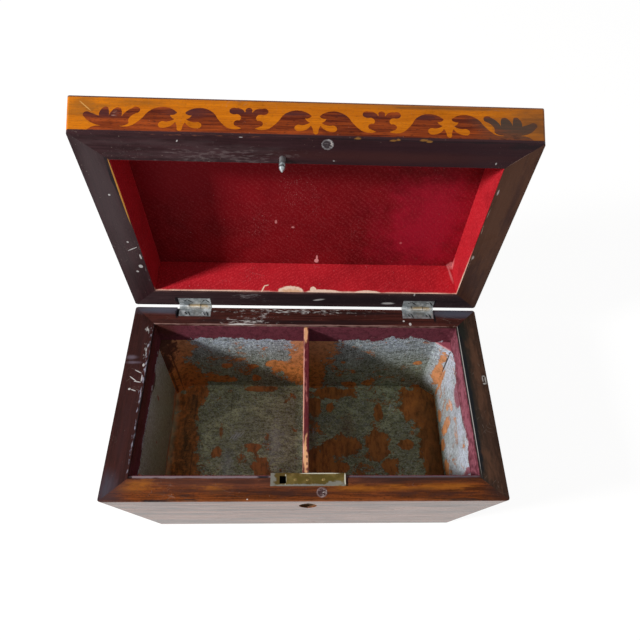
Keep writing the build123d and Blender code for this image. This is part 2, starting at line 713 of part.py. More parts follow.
with BuildPart() as key_post:
    post_length = LOCK_CASE_DEPTH - LOCK_CASE_WALL
    with Locations(Location((LOCK_X, CAVITY_FRONT, KEYHOLE_Z), (90, 0, 0))):
        Cylinder(
            KEY_POST_DIAMETER / 2, post_length, align=(Align.CENTER, Align.CENTER, Align.MIN)
        )
save(key_post, "lock_key_post")

# Butt hinges: the body's leaf has the two outer knuckles and the lid's leaf the middle one

for side, hinge_x in (("left", -HINGE_X), ("right", HINGE_X)):
    pin_line = Location((hinge_x, HINGE_Y, HINGE_Z), (0, 90, 0))
    knuckle = KNUCKLE_DIAMETER / 2
    bore = HINGE_PIN_DIAMETER / 2 + PIN_CLEARANCE
    ends = (hinge_x - HINGE_LENGTH / 2, hinge_x + HINGE_LENGTH / 2)
    leaf_front = HINGE_Y - LEAF_REACH
    screws = [place for place in hinge_screw_places(RIM_Z) if place[0] * hinge_x > 0]

    with BuildPart() as body_leaf:
        box_between((ends[0], leaf_front, RIM_Z - LEAF_THICKNESS), (ends[1], HINGE_Y, RIM_Z))
        with Locations(pin_line):
            Cylinder(knuckle, HINGE_LENGTH)
            Cylinder(knuckle + KNUCKLE_GAP, KNUCKLE_LENGTH + 2 * KNUCKLE_GAP, mode=Mode.SUBTRACT)
            Cylinder(bore, HINGE_LENGTH, mode=Mode.SUBTRACT)
        cut_head_seats(screws, 0)
        cut_screw_holes(screws, 0, SCREW_LENGTH)
    save(body_leaf, f"hinge_{side}_body_leaf")

    with BuildPart() as pin:
        with Locations(pin_line):
            Cylinder(HINGE_PIN_DIAMETER / 2, HINGE_LENGTH)
    save(pin, f"hinge_{side}_pin")

    with BuildPart() as lid_leaf:
        box_between((ends[0], leaf_front, LID_Z), (ends[1], HINGE_Y, LID_Z + LEAF_THICKNESS))
        with Locations(pin_line):
            Cylinder(knuckle + KNUCKLE_GAP, HINGE_LENGTH, mode=Mode.SUBTRACT)
        box_between(
            (hinge_x - KNUCKLE_LENGTH / 2, leaf_front, LID_Z),
            (hinge_x + KNUCKLE_LENGTH / 2, HINGE_Y, LID_Z + LEAF_THICKNESS),
        )
        with Locations(pin_line):
            Cylinder(knuckle, KNUCKLE_LENGTH)
            Cylinder(bore, HINGE_LENGTH, mode=Mode.SUBTRACT)
        lid_screws = [(x, y, LID_Z) for x, y, z in screws]
        cut_head_seats(lid_screws, 180)
        cut_screw_holes(lid_screws, 180, SCREW_LENGTH)
    save_open(lid_leaf, f"hinge_{side}_lid_leaf")

with BuildPart() as hinge_body_screws:
    add_screws(hinge_screw_places(RIM_Z), 0, SCREW_LENGTH)
save(hinge_body_screws, "hinge_body_screws")

with BuildPart() as hinge_lid_screws:
    add_screws(hinge_screw_places(LID_Z), 180, SCREW_LENGTH)
save_open(hinge_lid_screws, "hinge_lid_screws")

# Lid: walls, facings, hipped top and papers

for side in SIDES:
    with BuildPart() as wall:
        lid_core()
        box_between(
            (-LID_CAVITY_X, LID_CAVITY_FRONT, LID_Z),
            (LID_CAVITY_X, LID_CAVITY_BACK, LID_CEILING_Z),
            mode=Mode.SUBTRACT,
        )
        keep_side(
            side, LID_CAVITY_X, LID_CAVITY_FRONT, LID_CAVITY_BACK, LID_BOARD_FOOT, LID_CEILING_Z
        )
        if side == "front":
            cut_stud_hole()
        if side == "back":
            cut_screw_holes(hinge_screw_places(LID_Z), 180, SCREW_LENGTH + GLUE_LINE)
    save_open(wall, f"lid_{side}_wall")

for side in SIDES:
    with BuildPart() as facing:
        sloping_block(LID_Z, LID_BOARD_FOOT, LID_Z, 0, CORNER_RADIUS)
        box_between(
            (-LID_CAVITY_X, LID_CAVITY_FRONT, LID_Z),
            (LID_CAVITY_X, LID_CAVITY_BACK, LID_BOARD_FOOT),
            mode=Mode.SUBTRACT,
        )
        keep_side(side, LID_CAVITY_X, LID_CAVITY_FRONT, LID_CAVITY_BACK, LID_Z, LID_BOARD_FOOT)
        if side == "front":
            cut_disc_seat(LID_DISC_Y, LID_Z, -1)
            cut_stud_hole()
        if side == "back":
            cut_hinge_barrels()
            cut_hinge_leaves(LID_Z, LID_Z + LEAF_THICKNESS + GLUE_LINE, False)
            cut_screw_holes(hinge_screw_places(LID_Z), 180, SCREW_LENGTH)
    save_open(facing, f"lid_{side}_rim")

with BuildPart() as lid_top_panel:
    lid_core()
    box_between(
        (-RIM_LENGTH, -RIM_DEPTH, LID_CEILING_Z),
        (RIM_LENGTH, RIM_DEPTH, CORE_TOP_Z),
        mode=Mode.INTERSECT,
    )
save_open(lid_top_panel, "lid_top_panel")

for side in SIDES:
    with BuildPart() as hip:
        sloping_block(HIP_FOOT_Z, CORE_TOP_Z, LID_Z, 0, CORNER_RADIUS)
        tapered_block(
            [
                (HIP_FOOT_Z, BAND_TOP_SPREAD + HIP_VENEER_RUN),
                (CORE_TOP_Z, DECK_SPREAD + HIP_VENEER_RUN),
            ],
            mode=Mode.INTERSECT,
        )
        lid_core(mode=Mode.SUBTRACT)
        keep_even_side(side, HIP_FOOT_Z, CORE_TOP_Z)
    save_open(hip, f"lid_{side}_hip_veneer")

with BuildPart() as deck_veneer:
    tapered_block([(CORE_TOP_Z, DECK_SPREAD + HIP_VENEER_RUN), (DECK_Z, DECK_SPREAD)])
save_open(deck_veneer, "lid_top_veneer")

with BuildPart() as lid_ceiling_paper:
    box_between(
        (-LID_CAVITY_X, LID_CAVITY_FRONT, LID_CEILING_Z - PAPER),
        (LID_CAVITY_X, LID_CAVITY_BACK, LID_CEILING_Z),
    )
save_open(lid_ceiling_paper, "lid_ceiling_paper")

with BuildPart() as lid_wall_paper:
    box_between(
        (-LID_CAVITY_X, LID_CAVITY_FRONT, LID_Z + PAPER),
        (LID_CAVITY_X, LID_CAVITY_BACK, LID_CEILING_Z - PAPER),
    )
    box_between(
        (-LID_CAVITY_X + PAPER, LID_CAVITY_FRONT + PAPER, LID_Z + PAPER),
        (LID_CAVITY_X - PAPER, LID_CAVITY_BACK - PAPER, LID_CEILING_Z - PAPER),
        mode=Mode.SUBTRACT,
    )
save_open(lid_wall_paper, "lid_wall_paper")

with BuildPart() as lid_disc:
    with Locations((DISC_X, LID_DISC_Y, LID_Z + DISC_THICKNESS / 2)):
        Cylinder(DISC_DIAMETER / 2, DISC_THICKNESS)
save_open(lid_disc, "lid_rim_disc")

with BuildPart() as lid_stud:
    with BuildSketch(Plane(origin=STUD_PLACE, x_dir=(1, 0, 0), z_dir=(0, -1, 0))):
        with BuildLine():
            shank = STUD_SHANK_DIAMETER / 2
            body = STUD_DIAMETER / 2
            neck = STUD_GROOVE_DIAMETER / 2
            groove_foot = STUD_GROOVE_START + STUD_GROOVE_WIDTH
            Polyline(
                (0, STUD_SHANK_LENGTH),
                (shank, STUD_SHANK_LENGTH),
                (shank, 0),
                (body, 0),
                (body, -STUD_GROOVE_START),
                (neck, -STUD_GROOVE_START),
                (neck, -groove_foot),
                (body, -groove_foot),
                (body, STUD_TIP - STUD_LENGTH),
                (STUD_TIP_DIAMETER / 2, -STUD_LENGTH),
                (0, -STUD_LENGTH),
                close=True,
            )
        make_face()
    revolve(axis=Axis(STUD_PLACE, (0, 0, 1)))
save_open(lid_stud, "lid_stud")

# Marquetry on the lid's front band: the dark scroll is let into the satinwood ground

with BuildSketch() as wave:
    with BuildLine():
        arcs(TONGUE, WAVE_BACK + WAVE_CURL + WAVE_LOBE + WAVE_HEEL)
        Polyline(WAVE_HEEL[-1], (FRIEZE_PITCH, 0), (0, 0), (0, TONGUE[1]), TONGUE)
    make_face()

with BuildSketch() as palmette:
    with BuildLine():
        arcs(PALMETTE_TIP, PALMETTE_LOBE)
        Line(PALMETTE_LOBE[-1], PALMETTE_NOTCH)
        arcs(PALMETTE_NOTCH, PALMETTE_LEAF + PALMETTE_FOOT)
        Polyline(PALMETTE_FOOT[-1], TONGUE, PALMETTE_ROOT, PALMETTE_TIP)
    make_face()
    mirror(about=Plane.YZ)

with BuildSketch() as end_palmette:
    with BuildLine():
        arcs(
            END_START,
            END_SIDE_LEAF + END_SECOND_LEAF + END_THIRD_LEAF + END_FOURTH_LEAF + END_FOOT,
        )
        Polyline(END_FOOT[-1], END_ROOT, END_START)
    make_face()
    with BuildLine():
        arcs(END_STRIP_START, END_STRIP)
        Polyline(END_STRIP[-1], (0, TONGUE[1]), (0, 0), END_STRIP_START)
    make_face()

with BuildSketch() as drawing:
    for step in (-3, -1, 1):
        with Locations((FRIEZE_CENTRE + step * FRIEZE_PITCH, 0)):
            add(wave.sketch)
    for step in (-1, 1, 3):
        with Locations((FRIEZE_CENTRE + step * FRIEZE_PITCH, 0)):
            add(mirror(wave.sketch, about=Plane.YZ, mode=Mode.PRIVATE))
    for step in (-1, 1):
        with Locations((FRIEZE_CENTRE + step * FRIEZE_PITCH, 0)):
            add(palmette.sketch)
    with Locations((FRIEZE_CENTRE - 3 * FRIEZE_PITCH, 0)):
        add(end_palmette.sketch)
    with Locations((FRIEZE_CENTRE + 3 * FRIEZE_PITCH - END_SHIFT, 0)):
        add(mirror(end_palmette.sketch, about=Plane.YZ, mode=Mode.PRIVATE))
    scale(by=RIM_LENGTH / FRIEZE_LENGTH)

with BuildSketch(leaning_plane(0, LID_Z, LID_Z)) as frieze:
    add(drawing.sketch)

for wood, mode in (("scroll", Mode.INTERSECT), ("ground", Mode.SUBTRACT)):
    with BuildPart() as marquetry:
        band_skin("front")
        extrude(frieze.sketch, amount=2 * BAND_VENEER, both=True, mode=mode)
    save_open(marquetry, f"lid_front_band_{wood}")

for side in ("right", "back", "left"):
    with BuildPart() as band:
        band_skin(side)
        if side == "back":
            cut_hinge_barrels()
    save_open(band, f"lid_{side}_band")
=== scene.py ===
"""Finishes and small fittings of a sarcophagus-shaped tea box that stands open."""

import json
import math

import bpy
from mathutils import Matrix, Vector

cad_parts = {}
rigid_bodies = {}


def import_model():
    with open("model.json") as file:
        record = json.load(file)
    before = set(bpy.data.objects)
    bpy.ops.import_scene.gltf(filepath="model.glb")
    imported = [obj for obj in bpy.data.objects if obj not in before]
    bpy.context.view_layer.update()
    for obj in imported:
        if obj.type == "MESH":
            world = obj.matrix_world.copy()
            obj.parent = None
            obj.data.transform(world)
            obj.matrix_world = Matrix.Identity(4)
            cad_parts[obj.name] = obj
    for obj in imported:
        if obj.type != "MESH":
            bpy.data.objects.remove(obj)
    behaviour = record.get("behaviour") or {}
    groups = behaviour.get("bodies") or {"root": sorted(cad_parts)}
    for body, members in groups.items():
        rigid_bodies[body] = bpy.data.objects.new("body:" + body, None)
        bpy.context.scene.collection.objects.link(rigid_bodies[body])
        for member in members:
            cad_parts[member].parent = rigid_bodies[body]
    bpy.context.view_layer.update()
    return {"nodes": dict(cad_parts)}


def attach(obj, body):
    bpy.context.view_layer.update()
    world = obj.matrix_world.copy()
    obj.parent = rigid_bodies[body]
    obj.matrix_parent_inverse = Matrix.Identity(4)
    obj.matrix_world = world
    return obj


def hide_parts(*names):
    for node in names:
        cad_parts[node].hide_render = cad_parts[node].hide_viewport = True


bl_info = {
    "name": "Sarcophagus Box Finishes",
    "version": (1, 0, 0),
    "blender": (4, 5, 0),
    "location": "View3D > Sidebar > Tea Box",
    "description": "Gives the sarcophagus box its woods, papers, foil and fittings, and its stage",
    "category": "Object",
}

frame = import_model()
SIDES = ("front", "right", "back", "left")
MM = 0.001
WHITE = (1.0, 1.0, 1.0, 1.0)
MARKS = {  # raggedness, grain per metre, softness of the edge and thinness of each kind of mark
    "cut": (0.12, 500.0, 0.10, 0.0),
    "worn": (0.90, 420.0, 0.35, 0.0),
    "soft": (0.60, 90.0, 0.80, 0.0),
    "dusty": (1.90, 900.0, 0.50, 1.0),
    "mottled": (1.30, 320.0, 0.70, 0.35),
    "torn": (0.80, 170.0, 0.60, 0.0),
}
BOX_RIM, LID_RIM = 95.5, 70.8  # the box's rim along Z and the open lid's rim along Y, in mm
FACES = {  # the axis that each face is square to, where it lies on it and how deep its marks go, in mm
    "box rim": ("Z", BOX_RIM, 3.0),
    "lid rim": ("Y", LID_RIM, 3.0),
    "band": ("Z", 238.0, 9.0),
    "ledge": ("Z", 94.0, 3.0),
    "divider": ("Z", 93.0, 3.0),
    "ceiling": ("Y", 96.5, 3.0),
    "lid back": ("Z", 112.5, 3.0),
    "lid right": ("X", 103.2, 3.0),
    "floor": ("Z", 9.3, 3.0),
    "back wall": ("Y", 54.6, 3.0),
    "left wall": ("X", -104.8, 3.0),
    "right wall": ("X", 104.8, 3.0),
}
HINGES = (("left", -78.6), ("right", 78.6))  # the middle of each hinge along the box, in mm
PIN = (70.65, 95.65)  # the hinge pins' place along Y and Z, in mm


def colour(name, description, default):
    """A linear colour that the user can change."""
    return bpy.props.FloatVectorProperty(
        name=name, description=description, subtype="COLOR", size=3, min=0.0, max=1.0, default=default
    )


def length(name, description, default):
    """A length in metres that the user can change."""
    return bpy.props.FloatProperty(
        name=name, description=description, subtype="DISTANCE", unit="LENGTH", min=0.0, default=default
    )


class TeaBoxWoods(bpy.types.PropertyGroup):
    """Colours of the box's woods."""

    satinwood: colour("Satinwood", "Ground of the marquetry band", (0.585, 0.168, 0.004))
    satinwood_streak: colour("Satinwood streaks", "Darker lines of the ground", (0.36, 0.088, 0.003))
    scroll: colour("Scroll rosewood", "Cut rosewood of the marquetry", (0.31, 0.056, 0.009))
    scroll_streak: colour("Scroll streaks", "Dark lines of the cut rosewood", (0.085, 0.012, 0.004))
    rim_dark: colour("Dark rim", "Rosewood of the lid's rim", (0.042, 0.015, 0.018))
    rim_brown: colour("Brown rim", "Rosewood of the box's side and back rims", (0.078, 0.022, 0.017))
    rim_warm: colour("Warm rim", "Rosewood of the box's front rim", (0.190, 0.047, 0.010))
    veneer: colour("Outer rosewood", "Polished veneer of the walls", (0.25, 0.080, 0.028))
    carcase: colour("Carcase", "Bare wood under the veneers", (0.32, 0.17, 0.075))
    divider: colour("Divider", "Stained top of the divider", (0.12, 0.017, 0.023))


class TeaBoxLinings(bpy.types.PropertyGroup):
    """Colours of the papers and the foil."""

    red_ceiling: colour("Red ceiling paper", "Pressed paper inside the lid's top", (0.17, 0.003, 0.006))
    red_walls: colour("Red wall paper", "Pressed paper round the lid's sides", (0.42, 0.012, 0.020))
    maroon_paper: colour("Maroon paper", "Paper round the top of the box", (0.150, 0.034, 0.050))
    foil: colour("Foil", "Clean foil, high up the walls", (0.52, 0.60, 0.74))
    # Painted light: a brighter, bluer copy of the foil, used on the wall that faces the window
    foil_lit: colour("Brightest foil", "Clean foil on the wall facing the window", (0.78, 0.82, 1.0))
    # Partly tarnish and partly painted shade: the foil is painted olive and dull low down, where it
    # lies in shade
    foil_stain_and_shade: colour("Stained foil", "Foil gone dull and olive, low down", (0.38, 0.43, 0.25))
    bare_light: colour("Bare wood, high up", "Wood and paste where foil is torn", (0.68, 0.31, 0.15))
    bare_dark: colour("Bare wood, low down", "The same, stained near the floor", (0.66, 0.235, 0.058))
    scrap: colour("Torn paper", "Pale back of the torn paper", (0.80, 0.62, 0.48))


class TeaBoxMetals(bpy.types.PropertyGroup):
    """Colours of the metal fittings."""

    brass: colour("Old brass", "Brass of the lock", (0.088, 0.056, 0.015))
    bright_brass: colour("Rubbed brass", "Brass where it is rubbed", (0.25, 0.175, 0.062))
    grey_metal: colour("Grey metal", "Tarnished hinges", (0.27, 0.295, 0.305))
    pale_metal: colour("Rubbed grey metal", "Hinges and stud where they are rubbed", (0.66, 0.69, 0.70))
    iron: colour("Iron", "Screws, spring and post", (0.14, 0.135, 0.13))


class TeaBoxFittings(bpy.types.PropertyGroup):
    """Sizes of the screws and rivets."""

    head: length("Screw head", "Width of a screw's head", 0.0032)
    head_depth: length("Screw head depth", "Straight part of the head", 0.0008)
    shank: length("Screw shank", "Width of a screw's shank", 0.0015)
    slot_width: length("Slot width", "Width of the slot in the head", 0.0007)
    slot_depth: length("Slot depth", "Depth of the slot in the head", 0.0006)
    hinge_screw: length("Hinge screw", "Length of a hinge screw", 0.0076)
    lock_screw: length("Lock screw", "Length of a lock screw", 0.0050)
    rivet: length("Rivet", "Width of a rivet", 0.0020)
    rivet_length: length("Rivet length", "Length of a rivet under its head", 0.0014)
    rivet_crown: length("Rivet crown", "How far a rivet's head stands up", 0.0001)


class TeaBoxStage(bpy.types.PropertyGroup):
    """Camera, light and floor."""

    camera_place: bpy.props.FloatVectorProperty(
        name="Camera place", description="Where the camera stands", subtype="TRANSLATION",
        unit="LENGTH", default=(-0.00250, -0.17034, 0.41641)
    )
    camera_turn: bpy.props.FloatVectorProperty(
        name="Camera turn", description="How the camera is turned", subtype="EULER", unit="ROTATION",
        default=(math.radians(31.51), math.radians(-2.37), math.radians(-0.95))
    )
    camera_shift: bpy.props.FloatVectorProperty(
        name="Camera shift", description="Shift to the side and up, as a share of the picture's width",
        size=2, default=(-0.01276, 0.06374)
    )
    lens: bpy.props.FloatProperty(
        name="Lens", description="Focal length in millimetres on a 36 mm sensor", default=31.57
    )
    window_place: bpy.props.FloatVectorProperty(
        name="Window place", description="Where the window light stands", subtype="TRANSLATION",
        unit="LENGTH", default=(-1.00, -0.36, 0.78)
    )
    window_size: length("Window size", "Side of the square window light", 0.17)
    window_power: bpy.props.FloatProperty(
        name="Window light", description="Power of the window light", subtype="POWER", unit="POWER",
        default=21.0
    )
    sky: bpy.props.FloatProperty(
        name="Room light", description="Strength of the light from all round", default=0.36
    )
    window_aim: bpy.props.FloatVectorProperty(
        name="Window aim", description="Where the window light points", subtype="TRANSLATION",
        unit="LENGTH", default=(0.0, 0.0, 0.10)
    )
    floor_size: length("Floor", "Side of the square floor", 6.0)
    floor_drop: length("Floor drop", "Gap between the box and the floor", 0.00002)
    floor_glow: bpy.props.FloatProperty(
        name="Floor glow", description="How white the floor is where it shows", default=1.08
    )
    floor_share: bpy.props.FloatProperty(
        name="Floor share", description="Share of the glow in the floor that shows", default=0.86
    )


class Nodes:
    """Adds nodes to a tree and links them. A call gives back an output, or a list of outputs."""

    def __init__(self, tree):
        self.tree = tree

    def add(self, kind, inputs=None, output=0, **settings):
        node = self.tree.nodes.new(kind)
        node.location = (180 * len(self.tree.nodes), 0)
        for name, value in settings.items():
            setattr(node, name, value)
        for name, value in (inputs or {}).items():
            if isinstance(value, bpy.types.NodeSocket):
                self.tree.links.new(value, node.inputs[name])
            else:
                node.inputs[name].default_value = value
        return node.outputs[output]

    def place(self):
        """The place on the box, in metres."""
        return self.add("ShaderNodeTexCoord", output="Object")

    def stretch(self, vector, factors):
        return self.add("ShaderNodeVectorMath", {0: vector, 1: factors}, operation="MULTIPLY")

    def shift(self, vector, offset):
        return self.add("ShaderNodeVectorMath", {0: vector, 1: offset}, operation="ADD")

    def turn(self, vector, angles):
        return self.add("ShaderNodeMapping", {"Vector": vector, "Rotation": angles})

    def noise(self, vector, scale, detail, roughness=0.5, distortion=0.0):
        return self.add(
            "ShaderNodeTexNoise",
            {"Vector": vector, "Scale": scale, "Detail": detail, "Roughness": roughness,
             "Distortion": distortion},
        )

    def cells(self, vector, scale):
        return self.add("ShaderNodeTexVoronoi", {"Vector": vector, "Scale": scale})

    def math(self, operation, a, b=0.0):
        return self.add("ShaderNodeMath", {0: a, 1: b}, operation=operation)

    def times(self, *values):
        """The product of the values."""
        out = values[0]
        for value in values[1:]:
            out = self.math("MULTIPLY", out, value)
        return out

    def plus(self, *values):
        """The sum of the values."""
        out = values[0]
        for value in values[1:]:
            out = self.math("ADD", out, value)
        return out

    def minus(self, a, b):
        return self.math("SUBTRACT", a, b)

    def most(self, a, b):
        """The larger of the two."""
        return self.math("MAXIMUM", a, b)

    def rise(self, value, start, end):
        """0 up to start, 1 from end, smooth between them. It falls where end is below start."""
        return self.add(
            "ShaderNodeMapRange", {"Value": value, "From Min": start, "From Max": end},
            interpolation_type="SMOOTHSTEP",
        )

    def fit(self, value, low, high):
        """Turns 0 to 1 into low to high."""
        return self.add("ShaderNodeMapRange", {"Value": value, "To Min": low, "To Max": high})

    def mix(self, factor, a, b):
        return self.add(
            "ShaderNodeMix", {0: factor, 6: opaque(a), 7: opaque(b)}, output=2, data_type="RGBA"
        )

    def parts(self, vector):
        node = self.tree.nodes.new("ShaderNodeSeparateXYZ")
        self.tree.links.new(vector, node.inputs[0])
        return node.outputs

    def group(self, name, inputs, *labels):
        """The outputs of a shared effect that have these labels."""
        node = self.add("ShaderNodeGroup", inputs, node_tree=bpy.data.node_groups[name]).node
        return [node.outputs[label] for label in labels]

    def old_surface(self, place, amount):
        """Masks of the dirt, the scratches and the pale flecks."""
        sockets = {"Vector": place, "Amount": amount}
        return self.group("Old surface", sockets, "Dirt", "Scratches", "Flecks")

    def bump(self, height, distance, strength):
        sockets = {"Height": height, "Distance": distance, "Strength": strength}
        return self.add("ShaderNodeBump", sockets)

    def spots(self, place, marks, style="cut", stretch=(1.0, 1.0, 1.0)):
        """Mask of marks of one kind: the middle and half size of each in mm, and its turn in degrees.
        The stretch draws their ragged edges out along the grain."""
        mask = 0.0
        look = dict(zip(("Ragged", "Grain", "Softness", "Thinness"), MARKS[style]))
        for middle, half, *turn in marks:
            sockets = {
                "Vector": place,
                "Middle": [MM * v for v in middle],
                "Half size": [MM * v for v in half],
                "Turn": [math.radians(v) for v in (turn[0] if turn else (0, 0, 0))],
                "Stretch": stretch,
            }
            mask = self.most(mask, *self.group("Patch", sockets | look, "Mask"))
        return mask

    def marked(self, tone, place, marks, stretch=(1.0, 1.0, 1.0)):
        """The tone with each set of marks over it: its colour, strength, kind and places."""
        for paint, strength, style, places in marks:
            mask = self.spots(place, places, style, stretch)
            tone = self.mix(self.times(mask, strength), tone, paint)
        return tone


def opaque(value):
    """A colour with alpha, or the socket as it is."""
    return value if isinstance(value, bpy.types.NodeSocket) else (*tuple(value)[:3], 1.0)


def shade(tone, share):
    """A colour made darker or lighter."""
    return tuple(min(1.0, share * c) for c in tone)


def on(face, *rows):
    """Places of marks on a flat face. A row is a mark's middle and its half sizes along the face's
    two axes, in mm, and its turn in degrees, if it has one."""
    axis, height, depth = FACES[face]
    square = "XYZ".index(axis)
    places = []
    for across, along, half_across, half_along, *turn in rows:
        place = [across, along], [half_across, half_along], [0, 0]
        for numbers, value in zip(place, (height, depth, turn[0] if turn else 0)):
            numbers.insert(square, value)
        places.append(place)
    return places


def marks_on(face, *marks):
    """Sets of marks on a flat face: each set's colour, strength and kind, and then its rows."""
    return [(paint, strength, style, on(face, *rows)) for paint, strength, style, *rows in marks]


def new_group(name, inputs, outputs):
    """An empty shader node group that takes the place and some inputs, named with their defaults, and
    gives numbers: its nodes, the place, its inputs and a way to its outputs."""
    tree = bpy.data.node_groups.new(name, "ShaderNodeTree")
    for label, default in ({"Vector": (0, 0, 0)} | inputs).items():
        kind = "NodeSocketVector" if isinstance(default, tuple) else "NodeSocketFloat"
        socket = tree.interface.new_socket(label, in_out="INPUT", socket_type=kind)
        socket.default_value = default
    for label in outputs:
        tree.interface.new_socket(label, in_out="OUTPUT", socket_type="NodeSocketFloat")
    given = tree.nodes.new("NodeGroupInput").outputs
    wanted = tree.nodes.new("NodeGroupOutput").inputs

    def give(label, value):
        tree.links.new(value, wanted[label])

    return Nodes(tree), given["Vector"], given, give


def make_grain_group():
    """Wood grain. The place's X runs along the grain, in metres."""
    n, place, given, give = new_group(
        "Wood grain", {"Streak width": 0.0012, "Waviness": 0.4}, ["Streaks", "Figure", "Pores"]
    )
    sway = n.noise(n.stretch(place, (9, 22, 22)), 1.0, 2.0)
    swing = n.times(n.minus(sway, 0.5), given["Waviness"], 0.012)
    bent = n.shift(place, n.add("ShaderNodeCombineXYZ", {0: 0.0, 1: swing, 2: swing}))
    rate = n.math("DIVIDE", 1.0, given["Streak width"])
    streaks = n.noise(n.stretch(bent, (0.045, 1.0, 1.0)), rate, 4.0, 0.62)
    figure = n.noise(n.stretch(bent, (0.09, 1.0, 1.0)), n.times(rate, 0.16), 3.0, 0.55, 0.3)
    pores = n.noise(n.stretch(bent, (0.16, 1.0, 1.0)), n.times(rate, 3.4), 1.0, 0.4)
    give("Streaks", n.rise(streaks, 0.34, 0.66))
    give("Figure", n.rise(figure, 0.38, 0.62))
    give("Pores", n.rise(pores, 0.60, 0.72))


def make_wear_group():
    """Dirt, scratches and pale flecks that an old surface has."""
    n, place, given, give = new_group("Old surface", {"Amount": 0.5}, ["Dirt", "Scratches", "Flecks"])

    def starts(at, share):
        """Where a mask starts: lower where the surface is older."""
        return n.minus(at, n.times(given["Amount"], share))

    give("Dirt", n.rise(n.noise(place, 60.0, 5.0, 0.6), starts(0.75, 0.3), 0.85))
    every = 0.0
    for angle, shift in ((0.35, 0.0), (-0.8, 3.1), (1.3, 7.7)):
        along = n.turn(n.shift(place, (shift, shift, 0)), (0.2, 0.0, angle))
        thin = n.noise(n.stretch(along, (45, 2400, 900)), 1.0, 1.0, 0.4)
        every = n.most(every, n.rise(thin, 0.70, 0.76))
    where = n.rise(n.noise(place, 34.0, 2.0), starts(0.72, 0.25), 0.74)
    give("Scratches", n.times(every, where))
    give("Flecks", n.rise(n.noise(place, 900.0, 1.0, 0.5), starts(0.80, 0.06), 0.82))


def make_patch_group():
    """One ragged-edged mark at a place: an ellipsoid whose edge follows a noise."""
    inputs = {
        "Middle": (0, 0, 0), "Half size": (0.01, 0.01, 0.01), "Turn": (0, 0, 0), "Ragged": 0.5,
        "Grain": 300.0, "Softness": 0.1, "Thinness": 0.0, "Stretch": (1, 1, 1),
    }
    n, place, given, give = new_group("Patch", inputs, ["Mask"])
    away = n.add("ShaderNodeVectorMath", {0: place, 1: given["Middle"]}, operation="SUBTRACT")
    turned = n.add("ShaderNodeVectorRotate", {"Vector": away, "Rotation": given["Turn"]},
                   rotation_type="EULER_XYZ", invert=True)
    scaled = n.add("ShaderNodeVectorMath", {0: turned, 1: given["Half size"]}, operation="DIVIDE")
    reach = n.add("ShaderNodeVectorMath", {0: scaled}, output="Value", operation="LENGTH")
    drawn = n.stretch(place, given["Stretch"])
    rough = n.times(n.minus(n.noise(drawn, given["Grain"], 4.0, 0.6), 0.5), given["Ragged"], 3.0)
    outside, inside = n.plus(1.0, given["Softness"]), n.minus(1.0, given["Softness"])
    give("Mask", n.rise(n.plus(reach, given["Thinness"], rough), outside, inside))


def make_tear_group():
    """Patches where a thin lining is torn off, with their ragged edges."""
    inputs = {"Scale": 40.0, "Cover": 0.5, "Placed": 0.0}
    n, place, given, give = new_group("Torn lining", inputs, ["Torn", "Edge"])
    broad = n.noise(place, given["Scale"], 8.0, 0.66, 0.9)
    crumbs = n.times(n.minus(n.noise(place, 800.0, 3.0, 0.7), 0.5), 0.34)
    here = n.plus(broad, crumbs, n.times(given["Placed"], 0.5))
    away = n.minus(here, n.fit(given["Cover"], 0.34, 0.66))
    give("Torn", n.rise(away, -0.025, 0.035))
    give("Edge", n.rise(n.math("ABSOLUTE", away), 0.030, 0.0))


def make_foil_group():
    """Speckle, creases and broad clouds of thin foil that was rubbed down on wood."""
    n, place, _, give = new_group("Rubbed foil", {}, ["Speckle", "Glints", "Creases", "Clouds"])
    fine = n.noise(n.stretch(place, (430, 680, 880)), 1.0, 5.0, 0.88, 0.25)
    mid = n.noise(n.stretch(place, (150, 290, 420)), 1.0, 4.0, 0.75, 0.4)
    give("Speckle", n.most(n.rise(fine, 0.45, 0.60), n.times(n.rise(mid, 0.48, 0.60), 0.9)))
    # Glints are painted highlights: small bright spots on the foil
    sparks = n.noise(n.shift(place, (0.7, 0.3, 0.9)), 640.0, 3.0, 0.75, 0.5)
    give("Glints", n.rise(sparks, 0.56, 0.66))
    lines = 0.0
    for angle in (0.5, 1.7, 2.6):
        along = n.turn(place, (angle, 0.6 * angle, angle))
        folds = n.noise(n.stretch(along, (55, 260, 260)), 1.0, 2.0, 0.5)
        lines = n.most(lines, n.rise(n.math("ABSOLUTE", n.minus(folds, 0.5)), 0.012, 0.0))
    give("Creases", lines)
    give("Clouds", n.rise(n.noise(place, 42.0, 5.0, 0.62), 0.36, 0.62))


def make_emboss_group():
    """Fine pressed grain of bookbinder's paper, in slanting rows."""
    n, place, _, give = new_group("Pressed grain", {}, ["Grain", "Fibre"])
    beads = n.cells(n.stretch(n.turn(place, (0.0, 0.7, 0.7)), (1.0, 1.0, 1.5)), 760.0)
    sockets = {
        "Vector": n.turn(place, (0.0, 0.75, 0.75)), "Scale": 150.0, "Distortion": 4.0, "Detail": 2.0,
        "Detail Scale": 1.5,
    }
    rows = n.add("ShaderNodeTexWave", sockets, output="Fac", wave_type="BANDS", bands_direction="X")
    give("Grain", n.times(n.rise(beads, 0.75, 0.15), n.fit(rows, 0.25, 1.0)))
    give("Fibre", n.noise(place, 2600.0, 2.0, 0.6))


def new_material(name):
    """A material with a Principled BSDF. Gives the material, its nodes and the shader."""
    material = bpy.data.materials.new(name)
    material.use_nodes = True
    return material, Nodes(material.node_tree), material.node_tree.nodes["Principled BSDF"]


def feed(n, shader, **inputs):
    """Sets or links the shader's sockets, named with underscores for spaces."""
    for name, value in inputs.items():
        socket = shader.inputs[name.replace("_", " ")]
        if isinstance(value, bpy.types.NodeSocket):
            n.tree.links.new(value, socket)
        else:
            socket.default_value = value


def dress(material, *names):
    """Puts a material on CAD nodes."""
    for name in names:
        mesh = frame["nodes"][name].data
        mesh.materials.clear()
        mesh.materials.append(material)


